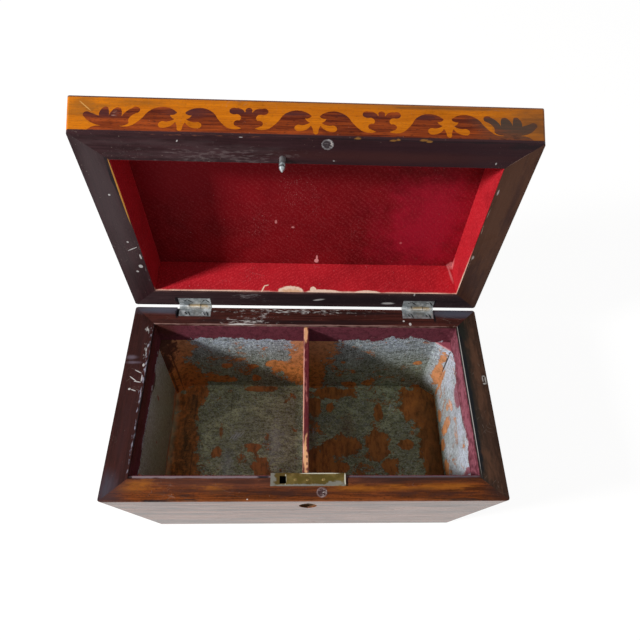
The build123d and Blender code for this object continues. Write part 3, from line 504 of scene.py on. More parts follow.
def grain_vector(n, place, along):
    """The place, turned so that X runs along the grain."""
    if along == "X":
        return place
    x, y, z = n.parts(place)[:3]
    order = {"Y": (y, x, z), "Z": (z, x, y)}[along]
    return n.add("ShaderNodeCombineXYZ", dict(enumerate(order)))


def wood(name, base, streak, along="X", width=0.0014, wavy=0.4, rough=0.36, level=0.08, coat=0.0,
         wear=0.9, dark=0.75, pores=0.35, dust=(0.30, 0.24, 0.20), marks=()):
    """Old wood with streaks, figure, pores, dirt, scratches and marks. The width of its streaks is in
    metres."""
    material, n, shader = new_material(name)
    place = n.place()
    sockets = {"Vector": grain_vector(n, place, along), "Streak width": width, "Waviness": wavy}
    streaks, figure, pore = n.group("Wood grain", sockets, "Streaks", "Figure", "Pores")
    dirt, scratches, flecks = n.old_surface(place, wear)
    tone = n.mix(n.times(n.plus(n.times(streaks, 0.80), n.times(figure, 0.45)), dark), base, streak)
    tone = n.mix(n.times(pore, pores), tone, shade(streak, 0.35))
    tone = n.mix(n.times(dirt, 0.5), tone, shade(streak, 0.4))
    tone = n.mix(n.times(n.most(scratches, flecks), 0.45), tone, dust)
    tone = n.marked(tone, place, marks, [0.25 if axis == along else 1.0 for axis in "XYZ"])
    feed(n, shader, Base_Color=tone, Coat_Weight=coat, Coat_Roughness=0.10, Specular_IOR_Level=level,
         Roughness=n.plus(n.times(dirt, 0.25), n.times(streaks, 0.08), rough),
         Normal=n.bump(n.plus(n.times(pore, -0.6), n.times(scratches, -0.5)), 0.00012, 0.5))
    return material


class TEABOX_OT_effects(bpy.types.Operator):
    """Builds the shared effects: grain, old surface, marks, torn lining, foil and pressed paper"""

    bl_idname = "teabox.effects"
    bl_label = "Shared Effects"

    def execute(self, context):
        make_grain_group()
        make_wear_group()
        make_patch_group()
        make_tear_group()
        make_foil_group()
        make_emboss_group()
        return {"FINISHED"}


class TEABOX_OT_marquetry(bpy.types.Operator):
    """Finishes the lid's bands: satinwood ground and cut rosewood scroll"""

    bl_idname = "teabox.marquetry"
    bl_label = "Marquetry Bands"

    def execute(self, context):
        woods = context.scene.teabox_woods
        common = dict(width=0.0009, wavy=0.5, level=0.05, wear=0.7, dark=0.60, pores=0.45)
        front = marks_on("band",
            ((0.24, 0.085, 0.01), 0.6, "mottled", (-111, 87, 11, 9), (-92, 92, 30, 3)),
            ((0.14, 0.06, 0.012), 0.55, "dusty", (-110, 84, 12, 10)),
            ((0.3, 0.1, 0.012), 0.5, "soft", (-114, 88, 6, 5), (30, 93, 60, 1.5)),
            ((0.23, 0.082, 0.02), 0.7, "soft", (118, 82, 20, 18), (84, 93, 30, 1.5)),
            ((0.075, 0.035, 0.016), 0.5, "mottled", (114, 82, 10, 9), (66, 92.6, 26, 1),
                (112, 72.5, 10, 1.5)),
            ((0.17, 0.07, 0.015), 0.5, "dusty", (0, 94.3, 118, 0.7), (100, 80, 16, 7)),
            ((0.8, 0.48, 0.16), 0.45, "cut", (-113, 88, 0.28, 4.6, 46)),
        )
        satin = wood("Satinwood", woods.satinwood, woods.satinwood_streak, "X", marks=front, **common)
        dress(satin, "lid_front_band_ground")
        for label, along, nodes in (
            ("at the back", "X", ["lid_back_band"]),
            ("on the sides", "Z", ["lid_left_band", "lid_right_band"]),
        ):
            plain = wood(f"Satinwood {label}", woods.satinwood, woods.satinwood_streak, along, **common)
            dress(plain, *nodes)
        worn = marks_on("band",
            ((0.05, 0.042, 0.031), 0.82, "soft", (106, 82.5, 17, 9)),
            ((0.085, 0.045, 0.025), 0.6, "soft", (104, 74, 20, 3)),
            ((0.03, 0.015, 0.014), 0.75, "dusty", (52, 71.6, 62, 1.2), (100, 74, 12, 3)),
            ((0.055, 0.015, 0.016), 0.8, "soft", (-104, 83.5, 11, 3.4), (-62, 85, 10, 2.8),
                (-36, 87, 12, 1.6), (56, 86.5, 10, 1.8), (25, 86.5, 12, 1.6), (-8, 86, 10, 1.6)),
            ((0.07, 0.024, 0.022), 0.7, "soft", (-20, 71.6, 110, 1.1)),
            ((0.42, 0.25, 0.2), 0.5, "dusty", (-98, 84, 2.2, 2.8), (-103, 88, 1.4, 1.2)),
            ((0.35, 0.15, 0.02), 0.7, "dusty", (75, 72, 22, 0.6), (-20, 71.3, 60, 0.3)),
        )
        scroll = wood("Cut rosewood", woods.scroll, woods.scroll_streak, width=0.0013, wavy=0.35,
                      level=0.05, wear=0.6, dark=0.95, pores=0.75, marks=worn)
        dress(scroll, "lid_front_band_scroll")
        return {"FINISHED"}


class TEABOX_OT_box_rims(bpy.types.Operator):
    """Finishes the mitred rosewood facings of the box's rim, with their scuffs and chips"""

    bl_idname = "teabox.box_rims"
    bl_label = "Box Rims"

    def execute(self, context):
        woods = context.scene.teabox_woods
        # sheen is a painted sheen: a bluish-grey reflection painted at the rims' corners and along the
        # front rim's inner lip
        sheen, chalk, black = (0.075, 0.085, 0.115), (0.62, 0.60, 0.58), (0.006, 0.007, 0.009)
        line = (0.26, 0.155, 0.135)
        left = marks_on("box rim",
            (sheen, 0.38, "soft", (-116, -62, 5, 9), (-109, 67, 13, 3)),
            ((0.03, 0.01, 0.01), 0.6, "mottled", (-112, -20, 6, 40), (-110, 44, 4, 16)),
            (chalk, 0.65, "cut", (-112.6, 11.5, 0.35, 3.2, 52), (-109.6, 9.4, 0.35, 2.4, 80),
                (-110.2, 17, 0.3, 2.6, 62), (-107.6, 22, 0.7, 1.2), (-107.3, 12, 0.35, 2.6),
                (-113.8, 4, 0.8, 0.7), (-111.2, 3.2, 0.3, 1.8, 70)),
            ((0.15, 0.12, 0.15), 0.55, "soft", (-116, 28, 3.4, 1.4), (-114, 24, 4, 1)),
            (chalk, 0.55, "dusty", (-109, 50, 2.5, 3.5), (-108, 34, 1.6, 10)),
            ((0.3, 0.3, 0.37), 0.8, "dusty", (-106.2, 16, 1.6, 44), (-105.9, -36, 0.8, 30)),
            ((0.01, 0.007, 0.008), 0.85, "worn", (-105.3, 10, 0.35, 52)),
        )
        right = marks_on("box rim",
            # Painted reflection: the near-black wedge along the inner edge, wide at the back and narrow
            # at the front
            ((0.01, 0.012, 0.01), 0.92, "soft", (105.5, 8, 6, 66), (108.3, 52, 4.6, 14)),
            (black, 0.95, "worn", (106.6, -3, 1.4, 55)),
            ((0.5, 0.47, 0.45), 0.8, "cut", (105.6, 5, 0.3, 58)),
            ((0.4, 0.39, 0.37), 0.8, "worn", (116.9, 13, 0.35, 2), (118.7, 12.2, 0.45, 2.8),
                (117.8, 9.4, 1.2, 0.5), (117.7, 15.2, 1, 0.4)),
            ((0.1, 0.046, 0.026), 0.6, "mottled", (114, 20, 3.4, 44), (112, -46, 5, 14)),
        )
        back = marks_on("box rim",
            (sheen, 0.75, "soft", (-104, 67.5, 19, 2.8), (106, 67, 17, 3)),
            # Painted shadows: near-black strokes beside the outer end of each hinge leaf
            (black, 0.9, "worn", (-90.7, 64.2, 1.3, 4), (90.4, 64.2, 0.9, 4)),
            (black, 0.55, "soft", (5, 58, 95, 1.6), (40, 66, 28, 1.3)),
            (line, 0.85, "worn", (0, 55.3, 112, 0.45)),
            (chalk, 0.6, "dusty", (-42, 57.8, 22, 5), (-31, 62, 4, 7), (-10, 67, 60, 3)),
            (chalk, 0.75, "cut", (72.4, 57, 0.9, 1.2), (68, 59.6, 0.7, 0.7), (-46, 55.5, 9, 0.5),
                (0.5, 66, 0.5, 0.5)),
        )
        front = marks_on("box rim",
            ((0.085, 0.03, 0.021), 0.62, "soft", (-40, -58, 60, 4), (32, -57, 18, 3)),
            ((0.34, 0.11, 0.012), 0.6, "mottled", (-96, -60, 11, 4), (-56, -61, 9, 2.8),
                (40, -61.5, 26, 2.4), (84, -61, 16, 3)),
            ((0.038, 0.014, 0.01), 0.75, "mottled", (-70, -63.5, 34, 1.6), (-14, -65, 34, 2),
                (60, -58, 46, 1.2), (72, -65, 44, 2.2), (-40, -57.5, 50, 1.6)),
            ((0.024, 0.012, 0.01), 0.85, "soft", (116, -60, 9, 10), (66, -56.4, 34, 0.9)),
            (black, 0.9, "worn", (-84, -69.2, 9, 0.8), (-68, -68.8, 5, 0.9), (94, -69.1, 10, 0.9)),
            (black, 0.6, "soft", (-70, -65.8, 5, 0.9)),
            ((0.04, 0.022, 0.024), 0.8, "soft", (-117, -66, 11, 8)),
            (sheen, 0.5, "worn", (-70, -54.4, 48, 0.9), (60, -54.3, 46, 0.8)),
            # Painted highlight: an orange line along the rounded front edge
            ((0.34, 0.11, 0.035), 0.35, "mottled", (0, -69.2, 116, 0.9)),
            (chalk, 0.8, "cut", (-34.5, -68.3, 0.4, 0.35)),
        )
        for side, base, share, along, width, pores, marks in (
            ("left", (0.040, 0.011, 0.009), 0.40, "Y", 0.0014, 0.35, left),
            ("right", (0.048, 0.023, 0.014), 0.45, "Y", 0.0014, 0.35, right),
            ("back", woods.rim_brown, 0.25, "X", 0.0014, 0.35, back),
            ("front", woods.rim_warm, 0.10, "X", 0.0008, 0.85, front),
        ):
            dress(wood(f"Box rim, {side}", base, shade(base, share), along, width, pores=pores,
                       marks=marks), f"body_{side}_rim")
        return {"FINISHED"}


class TEABOX_OT_lid_rims(bpy.types.Operator):
    """Finishes the mitred rosewood facings of the lid's rim, with their scuffs and chips"""

    bl_idname = "teabox.lid_rims"
    bl_label = "Lid Rims"

    def execute(self, context):
        woods = context.scene.teabox_woods
        chalk, grey, gold = (0.60, 0.58, 0.57), (0.17, 0.135, 0.14), (0.40, 0.18, 0.03)
        black, pale = (0.008, 0.007, 0.009), (0.30, 0.20, 0.16)
        front = marks_on("lid rim",
            ((0.02, 0.006, 0.009), 0.75, "soft", (62, 226, 60, 13)),
            ((0.044, 0.013, 0.012), 0.7, "soft", (40, 225, 50, 3)),
            (grey, 0.08, "mottled", (-62, 222.5, 38, 3.5), (-40, 227.5, 30, 3), (-78, 230.5, 34, 3),
                (-30, 221, 24, 1.8)),
            ((0.26, 0.21, 0.21), 0.2, "dusty", (-46, 223, 52, 7), (-34, 221, 26, 3)),
            (chalk, 0.55, "cut", (-66.5, 232, 0.35, 0.7, 35), (-34.5, 235, 0.9, 0.25),
                (12.5, 222, 0.5, 0.3), (20, 213, 0.5, 0.3), (98, 222.5, 0.35, 0.8)),
            (black, 0.5, "worn", (60, 235.2, 60, 0.5), (112, 233, 8, 2)),
            (gold, 0.5, "worn", (24, 235.7, 1.6, 0.3), (41.6, 235.1, 1.7, 0.54),
                (44.4, 235.5, 0.8, 0.38), (57.4, 235.6, 2.1, 0.34), (60.2, 235.1, 1.2, 0.54)),
            ((0.24, 0.085, 0.045), 0.35, "dusty", (-60, 235.4, 58, 0.5)),
            (pale, 0.75, "cut", (110.5, 226.2, 0.35, 9.2, 46)),
        )
        left = marks_on("lid rim",
            ((0.06, 0.044, 0.047), 0.6, "soft", (-113, 190, 8, 50)),
            (black, 0.85, "worn", (-105.1, 206, 0.9, 16)),
            (gold, 0.9, "cut", (-103.9, 198, 0.45, 24)),
            (chalk, 0.6, "cut", (-108.3, 153, 3.6, 0.35, -28), (-107, 137, 1.3, 1.5),
                (-110.2, 132, 0.8, 0.8), (-109.6, 159, 0.6, 0.7), (-105, 146, 0.5, 2.2),
                (-110, 196, 0.6, 0.6)),
            (chalk, 0.5, "dusty", (-104.4, 130, 0.7, 14)),
        )
        right = marks_on("lid rim",
            ((0.084, 0.037, 0.022), 0.8, "soft", (112, 175, 9, 60)),
            ((0.036, 0.016, 0.014), 0.7, "mottled", (109, 130, 7, 26), (116, 190, 3, 40)),
            (pale, 0.6, "dusty", (104.2, 165, 0.5, 48)),
            (chalk, 0.5, "worn", (105, 203, 0.5, 2), (105, 150, 0.5, 1.5)),
        )
        back = marks_on("lid rim",
            (black, 0.6, "soft", (40, 104, 80, 6)),
            # Painted shadows: near-black strokes beside the outer end of each hinge leaf
            (black, 0.9, "worn", (-90.4, 102.5, 1, 3.6), (90.2, 102.5, 0.8, 3.6)),
            ((0.2, 0.1, 0.09), 0.6, "mottled", (0, 111.6, 100, 0.8)),
            ((0.34, 0.32, 0.33), 0.5, "dusty", (-40, 107, 12, 3.4), (-30, 103, 4, 2.5)),
            (chalk, 0.65, "worn", (8.5, 104.6, 3.4, 0.6, -12), (57.5, 101, 4.2, 1),
                (74, 111.5, 0.5, 1.4)),
        )
        dark = woods.rim_dark
        for side, base, along, marks in (
            ("front", dark, "X", front), ("left", shade(dark, 0.85), "Z", left),
            ("right", (0.068, 0.028, 0.018), "Z", right), ("back", (0.048, 0.025, 0.028), "X", back),
        ):
            dress(wood(f"Lid rim, {side}", base, shade(base, 0.45), along, rough=0.40, marks=marks),
                  f"lid_{side}_rim")
        return {"FINISHED"}


class TEABOX_OT_veneers(bpy.types.Operator):
    """Finishes the polished rosewood of the walls, the hips and the flat top"""

    bl_idname = "teabox.veneers"
    bl_label = "Outer Veneers"

    def execute(self, context):
        base = context.scene.teabox_woods.veneer
        for label, along, nodes in (
            ("along the box", "X", ["body_front_veneer", "body_back_veneer", "lid_front_hip_veneer",
                                    "lid_back_hip_veneer", "lid_top_veneer"]),
            ("across the box", "Y", ["body_left_veneer", "body_right_veneer"]),
            ("on the hip ends", "Z", ["lid_left_hip_veneer", "lid_right_hip_veneer"]),
        ):
            dress(wood(f"Rosewood {label}", base, shade(base, 0.15), along, 0.0022, 0.9, rough=0.26,
                       level=0.12, coat=0.25, wear=0.45, dark=0.85), *nodes)
        return {"FINISHED"}


class TEABOX_OT_carcase(bpy.types.Operator):
    """Finishes the bare woods of the carcase, the base board and the divider"""

    bl_idname = "teabox.carcase"
    bl_label = "Carcase and Divider"

    def execute(self, context):
        woods = context.scene.teabox_woods
        bare = dict(base=woods.carcase, streak=shade(woods.carcase, 0.5), width=0.0025, wavy=0.6,
                    rough=0.6, wear=0.7, dark=0.7, dust=(0.5, 0.42, 0.33))
        walls = [f"{part}_{side}_wall" for part in ("body", "lid") for side in SIDES]
        walls.remove("body_front_wall")
        dress(wood("Carcase wood", **bare), "base_board", "lid_top_panel", *walls)
        ledge = marks_on("ledge",
            ((0.065, 0.02, 0.02), 0.95, "cut", (0, -54.5, 130, 4)),
            # Painted sheen: the grey-purple lines along the ledge under the front rim's lip
            ((0.2, 0.155, 0.17), 0.8, "worn", (-62, -54, 48, 0.9)),
            ((0.1, 0.085, 0.1), 0.8, "worn", (64, -54, 46, 0.7)),
            ((0.012, 0.009, 0.012), 0.9, "worn", (66, -55.4, 48, 0.6), (-26, -54.6, 3, 2)),
        )
        # Painted shade: dark wood inside the keyhole
        keyhole = ((0.018, 0.008, 0.005), 0.85, "soft", [((0, -66, 80), (8, 6, 16))])
        ledge_wall = wood("Front wall with a stained ledge", marks=[*ledge, keyhole], **bare)
        dress(ledge_wall, "body_front_wall")
        worn = marks_on("divider",
            ((0.9, 0.48, 0.24), 0.7, "worn", (-0.9, -42, 1.3, 13), (-0.9, 49, 1.2, 7)),
            ((0.85, 0.46, 0.36), 0.8, "worn", (-2.1, 4, 0.3, 46)),
            ((0.6, 0.22, 0.19), 0.4, "dusty", (-0.7, 10, 1.4, 44)),
            ((0.1, 0.026, 0.018), 0.8, "worn",
                *((0, y, 0.5, 0.9) for y in (-49, -45.5, -41, -37, -33.5, -29, -22, -14, 44))),
        )
        top = wood("Divider wood", woods.divider, shade(woods.divider, 0.45), "Y", 0.0010, 0.5,
                   rough=0.6, dark=0.6, dust=(0.75, 0.50, 0.42), marks=worn)
        dress(top, "divider")
        return {"FINISHED"}


class TEABOX_OT_discs(bpy.types.Operator):
    """Finishes the two dark discs let into the front rims, each with a pale rubbed ring"""

    bl_idname = "teabox.discs"
    bl_label = "Rim Discs"

    def execute(self, context):
        ring_radii = (3.1, 2.35)  # mm
        for node, middle, ring, heart in (
            ("body_rim_disc", (8.9, -64.2, BOX_RIM), (0.36, 0.25, 0.23), (0.040, 0.017, 0.018)),
            ("lid_rim_disc", (8.9, LID_RIM, 231.9), (0.34, 0.32, 0.33), (0.035, 0.025, 0.029)),
        ):
            material, n, shader = new_material(node.replace("_", " ").capitalize())
            place = n.place()
            outer, inner = (n.spots(place, [(middle, [radius] * 3)]) for radius in ring_radii)
            edge = n.minus(outer, inner)
            rubbed = n.rise(n.noise(n.stretch(place, (500, 900, 900)), 1.0, 4.0, 0.65), 0.50, 0.64)
            _, scratches, _ = n.old_surface(place, 1.0)
            bright = n.spots(place, [((middle[0] + 1.6, *middle[1:]), (2.2, 2.6, 2.6))], "dusty")
            tone = n.mix(n.times(rubbed, 0.30), heart, ring)
            tone = n.mix(n.times(edge, n.fit(rubbed, 0.30, 1.0)), tone, ring)
            tone = n.mix(n.times(n.most(scratches, bright), 0.6), tone, (0.6, 0.55, 0.53))
            relief = n.plus(edge, n.times(rubbed, 0.4))
            feed(n, shader, Base_Color=tone, Roughness=n.fit(rubbed, 0.30, 0.55),
                 Specular_IOR_Level=0.12, Normal=n.bump(relief, 0.00015, 0.6))
            dress(material, node)
        return {"FINISHED"}


def paper(name, base, wear, marks, dull=0.60):
    """Pressed paper, rubbed, stained and torn."""
    material, n, shader = new_material(name)
    place = n.place()
    grain, fibre = n.group("Pressed grain", {"Vector": place}, "Grain", "Fibre")
    dirt, scratches, flecks = n.old_surface(place, wear)
    tone = n.mix(n.rise(n.noise(place, 26.0, 4.0, 0.6), 0.35, 0.7), base, shade(base, dull))
    tone = n.mix(n.times(grain, 0.42), tone, tuple(min(1.0, 1.7 * c + 0.035) for c in base))
    tone = n.mix(n.times(dirt, 0.45), tone, shade(base, 0.35))
    pale = n.most(n.times(scratches, 0.4), n.times(flecks, 0.6))
    tone = n.mix(pale, tone, tuple(min(1.0, 0.6 * c + 0.28) for c in base))
    tone = n.marked(tone, place, marks)
    feed(n, shader, Base_Color=tone, Roughness=n.plus(n.times(fibre, 0.2), 0.42),
         Specular_IOR_Level=0.07, Normal=n.bump(n.plus(grain, n.times(fibre, 0.3)), 0.00020, 0.6))
    return material


class TEABOX_OT_papers(bpy.types.Operator):
    """Finishes the red papers in the lid and on the divider and the maroon paper round the box"""

    bl_idname = "teabox.papers"
    bl_label = "Lining Papers"

    def execute(self, context):
        lining = context.scene.teabox_linings
        scrap, pink = lining.scrap, (0.72, 0.30, 0.30)
        ceiling = marks_on("ceiling",
            (pink, 0.9, "cut", (6.1, 116, 1.5, 2), (6.3, 119.2, 0.6, 2.4)),
            (pink, 0.6, "worn", (101.8, 113.6, 2.2, 2.6), (-21, 152.5, 0.6, 1.2), (-10, 148, 0.9, 0.8),
                (63, 135, 0.7, 0.7)),
            ((0.2, 0.004, 0.01), 0.55, "soft", (-70, 195, 45, 28)),
            # Painted light: a bright red patch on the lower right of the ceiling, where the window
            # light falls
            ((0.46, 0.01, 0.035), 0.55, "soft", (80, 150, 28, 38)),
        )
        dress(paper("Red ceiling paper", lining.red_ceiling, 0.7, ceiling), "lid_ceiling_paper")
        walls = marks_on("lid back",
            (scrap, 0.95, "cut", (-11.5, 71.2, 8.6, 4.9), (11, 70.6, 12, 2.8), (3.8, 73, 2.2, 2.8),
                (41, 70.9, 9, 2.2), (-30.6, 73.4, 0.45, 3.4, -20), (-28.3, 76.4, 1.6, 0.4, 20)),
            (scrap, 0.85, "soft", (-64, 70.9, 42, 1), (26, 70.9, 14, 1), (78, 70.9, 28, 0.9)),
            ((0.62, 0.36, 0.2), 0.8, "worn", (-11, 71, 6.5, 2.6)),
            (pink, 0.5, "soft", (101, 90, 0.7, 7, 8)),
        ) + marks_on("lid right",
            (scrap, 0.85, "soft", (71, 128, 1, 18)),
            (pink, 0.5, "soft", (95.5, 113, 2, 6)),
        )
        dress(paper("Red wall paper", lining.red_walls, 0.8, walls, 0.75), "lid_wall_paper")
        sides = [
            ((0.55, 0.24, 0.16), 0.8, "soft",
                [((-2.6, 0, 92.7), (1, 56, 0.9)), ((-2.6, -44, 80), (1, 10, 14))]),
        ]
        dress(paper("Red divider paper", (0.17, 0.016, 0.032), 0.9, sides), "divider_paper")
        return {"FINISHED"}


def foil(name, lining, holes, cover, marks, kept=(), under=None):
    """Thin foil, speckled and dull, bright high up and stained olive low down, where the olive is
    partly painted shade, and painted brighter on the wall that faces the window. It is torn off at the
    holes, and here and there besides, down to the wood or to the paper under it, but not where it is
    kept."""
    material, n, shader = new_material(name)
    place = n.place()
    x, _, height = n.parts(place)[:3]
    # Painted light: on the wall that faces the window the foil is painted brighter and bluer, with less
    # stain and weaker dark speckle
    lit_wall = n.times(n.rise(x, 0.088, 0.100), n.rise(height, 0.012, 0.026))  # faces the window
    low = n.times(n.rise(height, 0.078, 0.030), n.fit(lit_wall, 1.0, 0.30))  # less on the lit wall
    floor = n.rise(height, 0.0110, 0.0096)
    placed = n.minus(n.spots(place, holes, "torn"), n.times(n.spots(place, kept, "torn"), 2.0))
    torn = {"Vector": place, "Scale": 60.0, "Cover": cover, "Placed": placed}
    hole, edge = n.group("Torn lining", torn, "Torn", "Edge")
    speckle, glints, creases, clouds = n.group(
        "Rubbed foil", {"Vector": place}, "Speckle", "Glints", "Creases", "Clouds"
    )
    foil_with_painted_light = n.mix(lit_wall, lining.foil, lining.foil_lit)
    # The stained olive is partly tarnish and partly painted shade; the floor gets a lighter copy of it
    stain_and_shade = lining.foil_stain_and_shade
    metal = n.mix(n.times(low, 0.92), foil_with_painted_light, stain_and_shade)
    metal = n.mix(floor, metal, shade(stain_and_shade, 1.75))
    metal = n.mix(n.times(clouds, n.fit(low, 0.40, 0.62)), metal, shade(stain_and_shade, 0.40))
    metal = n.mix(n.times(speckle, n.fit(lit_wall, 0.85, 0.62)), metal, shade(stain_and_shade, 0.14))
    # Painted highlights: the creases and glints are painted a lighter foil colour, less so low down
    bright = n.times(n.most(creases, glints), n.fit(low, 0.75, 0.45))
    metal = n.mix(bright, metal, shade(lining.foil, 1.7))
    light, dark = under or (lining.bare_light, lining.bare_dark)
    bare = n.mix(low, light, dark)
    grime = n.rise(n.noise(n.stretch(place, (260, 90, 200)), 1.0, 6.0, 0.75), 0.42, 0.66)
    bare = n.mix(n.times(grime, n.fit(low, 0.55, 0.85)), bare, shade(dark, 0.22))
    tone = n.mix(n.times(edge, 0.45), n.mix(hole, metal, bare), shade(lining.bare_dark, 0.30))
    tone = n.marked(tone, place, marks)
    relief = n.plus(n.times(speckle, 0.45), n.times(creases, 0.5), n.times(hole, -1.2))
    rough = n.plus(n.times(hole, 0.3), n.times(speckle, 0.12), 0.40)
    feed(n, shader, Base_Color=tone, Metallic=n.fit(hole, 0.22, 0.0), Roughness=rough,
         Specular_IOR_Level=0.12, Normal=n.bump(relief, 0.00035, 0.7))
    return material


class TEABOX_OT_foils(bpy.types.Operator):
    """Finishes the foil linings and the corner blocks, torn where the photograph shows it"""

    bl_idname = "teabox.foils"
    bl_label = "Foil Linings"

    def execute(self, context):
        lining = context.scene.teabox_linings
        maroon, dark = (0.33, 0.085, 0.12), (0.045, 0.012, 0.012)
        floor_left = on("floor",
            (-96.5, -10, 11, 62), (-90, 46, 8, 10), (-41, 0.5, 5.6, 3.6), (-66.5, 13, 2, 5.5),
            (-68, -3.5, 3.2, 4), (-31, 11, 2.2, 4.6), (-35, -17, 6, 6.6), (-37, 51.5, 12, 2.2),
        )
        back_left = on("back wall",
            (-97, 24, 15, 20), (-92, 64, 7, 15), (-2, 58, 8.2, 30), (-4, 30, 11, 16), (-15, 39, 11, 6),
            (-27, 44, 5, 4), (-62, 41, 3.4, 2.8), (-41, 41, 3, 2.6), (-70, 20, 12, 4.4),
            (-40, 22, 2.6, 4.2),
        ) + on("left wall",
            (14, 66, 2.4, 4, -30), (34, 13, 17, 3.6), (-2, 12, 12, 3),
        )
        lines = marks_on("floor",
            ((0.03, 0.018, 0.01), 0.85, "dusty", (-92, 0, 5, 60), (-97, -25, 4, 24)),
            ((0.03, 0.018, 0.01), 0.65, "worn", (-88.5, 36, 0.9, 12), (-87, -20, 0.5, 22),
                (-91, 44, 1.6, 3), (-60, 36, 0.3, 16)),
            (shade(lining.foil, 1.2), 0.3, "mottled", (-55, 10, 3.2, 6, -32), (-24, 4, 7, 18),
                (-60, -14, 5, 12)),
            (shade(lining.foil, 1.5), 0.55, "cut",
                *((x, 9 + 0.3 * x + 17, 0.3, 3.4, -32) for x in (-58, -55.6, -53, -50))),
            ((0.66, 0.74, 0.5), 0.11, "soft", (-42, 8, 48, 54)),
            (shade(lining.bare_dark, 0.55), 0.8, "worn", (-66.5, 14, 1.3, 5.2)),
            ((0.07, 0.06, 0.028), 0.6, "mottled", (-93, 0, 11, 62), (-60, -50, 40, 7)),
        ) + marks_on("left wall",
            # Partly tarnish and partly painted shade: an olive-green tint over the left wall, which
            # lies in shade
            ((0.4, 0.5, 0.33), 0.55, "soft", (0, 50, 70, 60)),
            (dark, 0.9, "cut", (20, 77, 8, 4), (-50, 60, 3.2, 30)),
            ((0.3, 0.09, 0.05), 0.8, "worn", (16, 60, 1.5, 3), (-12, 47, 0.8, 1.2)),
        )
        # brown is painted shade: the maroon paper darkened and browned on the shaded left wall and in
        # the back wall's left corner, where the left wall's shadow falls
        brown, paste = (0.065, 0.016, 0.010), (0.55, 0.33, 0.31)
        band = marks_on("left wall",
            (brown, 0.85, "soft", (0, 91, 64, 9)),
        ) + marks_on("back wall",
            (brown, 0.85, "soft", (-101, 90, 9, 10)),
            (paste, 0.6, "dusty", (66, 82, 26, 0.6), (-56, 80.2, 20, 0.5)),
        ) + marks_on("right wall",
            (paste, 0.6, "dusty", (0, 79, 52, 1.2)),
            # Painted light: the maroon paper painted pinker and lighter on the wall that faces the
            # window
            ((0.46, 0.15, 0.2), 0.6, "mottled", (4, 87, 66, 9)),
        )
        kept = on("back wall",
            (-57, 76.4, 22, 4), (-24, 76, 14, 2.4), (67, 76.6, 28, 5.4), (34, 76, 14, 3.4),
        ) + on("left wall",
            (-14, 75.6, 34, 4.2), (34, 75.6, 8, 4),
        ) + on("right wall",
            (-22, 75, 14, 6), (34, 75, 12, 6),
        )
        all_over = [((0, 0, 85), (400, 400, 400))]  # the foil stays only where it is kept
        dress(foil("Maroon paper with foil over its edge", lining, all_over, 0.0, band, kept,
                   (lining.maroon_paper, shade(lining.maroon_paper, 0.8))), "upper_paper_band")
        sound = on("left wall", (2, 46, 46, 26)) + on("floor", (-50, 24, 24, 18))
        dress(foil("Foil of the left compartment", lining, floor_left + back_left, 0.86, lines, sound),
              "foil_lining_left")
        floor_right = on("floor",
            (92, 36, 15, 18), (99, -4, 8, 56), (79, 3, 5.4, 3.6), (27, 1, 13, 5.6), (56, 2, 8.4, 9),
            (10, -12, 9, 9), (65, -15, 4.6, 6), (24, -17, 8, 3.4), (22, 48, 15, 4.4), (19, 35, 2.2, 3),
            (58, 30, 2.8, 6), (7, 36, 4, 7),
        )
        back_right = on("back wall",
            (5, 68, 13, 26), (4, 28, 9.4, 28), (86, 47.5, 3, 2.8), (28, 47, 2, 2), (35, 13, 4.6, 3.4),
            (49, 14, 3.6, 3),
        ) + on("right wall",
            (6.5, 34, 4, 13), (13.5, 55, 5.4, 2.6, -32), (17, 46, 2.4, 3), (-23, 23, 7, 4.4),
            (22, 21, 4, 4), (-2, 20, 4, 5), (44, 38, 2.4, 14),
        )
        strips_and_painted_light = marks_on("right wall",
            (maroon, 0.92, "cut", (12, 74, 9, 7.6), (-44.5, 70, 4.4, 10)),
            ((0.75, 0.45, 0.42), 0.7, "worn", (13.5, 66.3, 8.6, 0.6), (-41, 62, 0.6, 5)),
            # Painted light: a pale blue-white overlay on the wall that faces the window
            ((0.8, 0.87, 1), 0.5, "dusty", (12, 56, 42, 20), (-34, 50, 16, 26)),
        ) + marks_on("floor",
            (shade(lining.foil, 1.5), 0.5, "worn", (5.5, 14, 0.6, 3), (68, 35, 0.5, 3, -25)),
            ((0.1, 0.025, 0.022), 0.5, "soft", (34, 18, 5, 9), (4, 10, 3.6, 40)),
            # Painted shade: the whole right floor darkened, as it lies in deeper shade
            ((0.07, 0.055, 0.025), 0.45, "soft", (52, 6, 62, 66)),
            ((0.05, 0.035, 0.015), 0.6, "soft", (104, 0, 14, 60)),
        )
        dress(foil("Foil of the right compartment", lining, floor_right + back_right, 0.80, strips_and_painted_light),
              "foil_lining_right")
        edges = [
            ((0.34, 0.055, 0.085), 0.95, "cut", [((101, 52, 78), (40, 40, 1.9))]),
            ((0.85, 0.45, 0.45), 0.85, "worn", [((99.3, 50.6, 76.5), (7.2, 0.7, 0.6), (0, 0, -36))]),
            ((0.025, 0.012, 0.012), 0.9, "worn", [((104.4, 46.9, 60), (0.6, 0.6, 17))]),
        ]
        tear = [((103.5, 48, 43), (5.5, 5, 15)), ((102, 50, 62), (2.4, 4, 7))]
        dress(foil("Foil on the right blocks", lining, tear, 0.90, edges), "corner_blocks_right")
        stains = [
            (dark, 0.9, "worn", [((-103, 52, 72), (9, 9, 14)), ((-104, 47, 56), (4, 5, 14))]),
            ((0.055, 0.022, 0.012), 0.7, "worn",
                [((-99.5, 50.5, 44), (0.5, 3, 34)), ((-103.5, 47.8, 38), (0.7, 3, 34))]),
        ]
        bare = [((-100, y, 40), (40, 12, 60)) for y in (50, -50)]
        dress(foil("Bare left blocks", lining, bare, 0.60, stains), "corner_blocks_left")
        return {"FINISHED"}


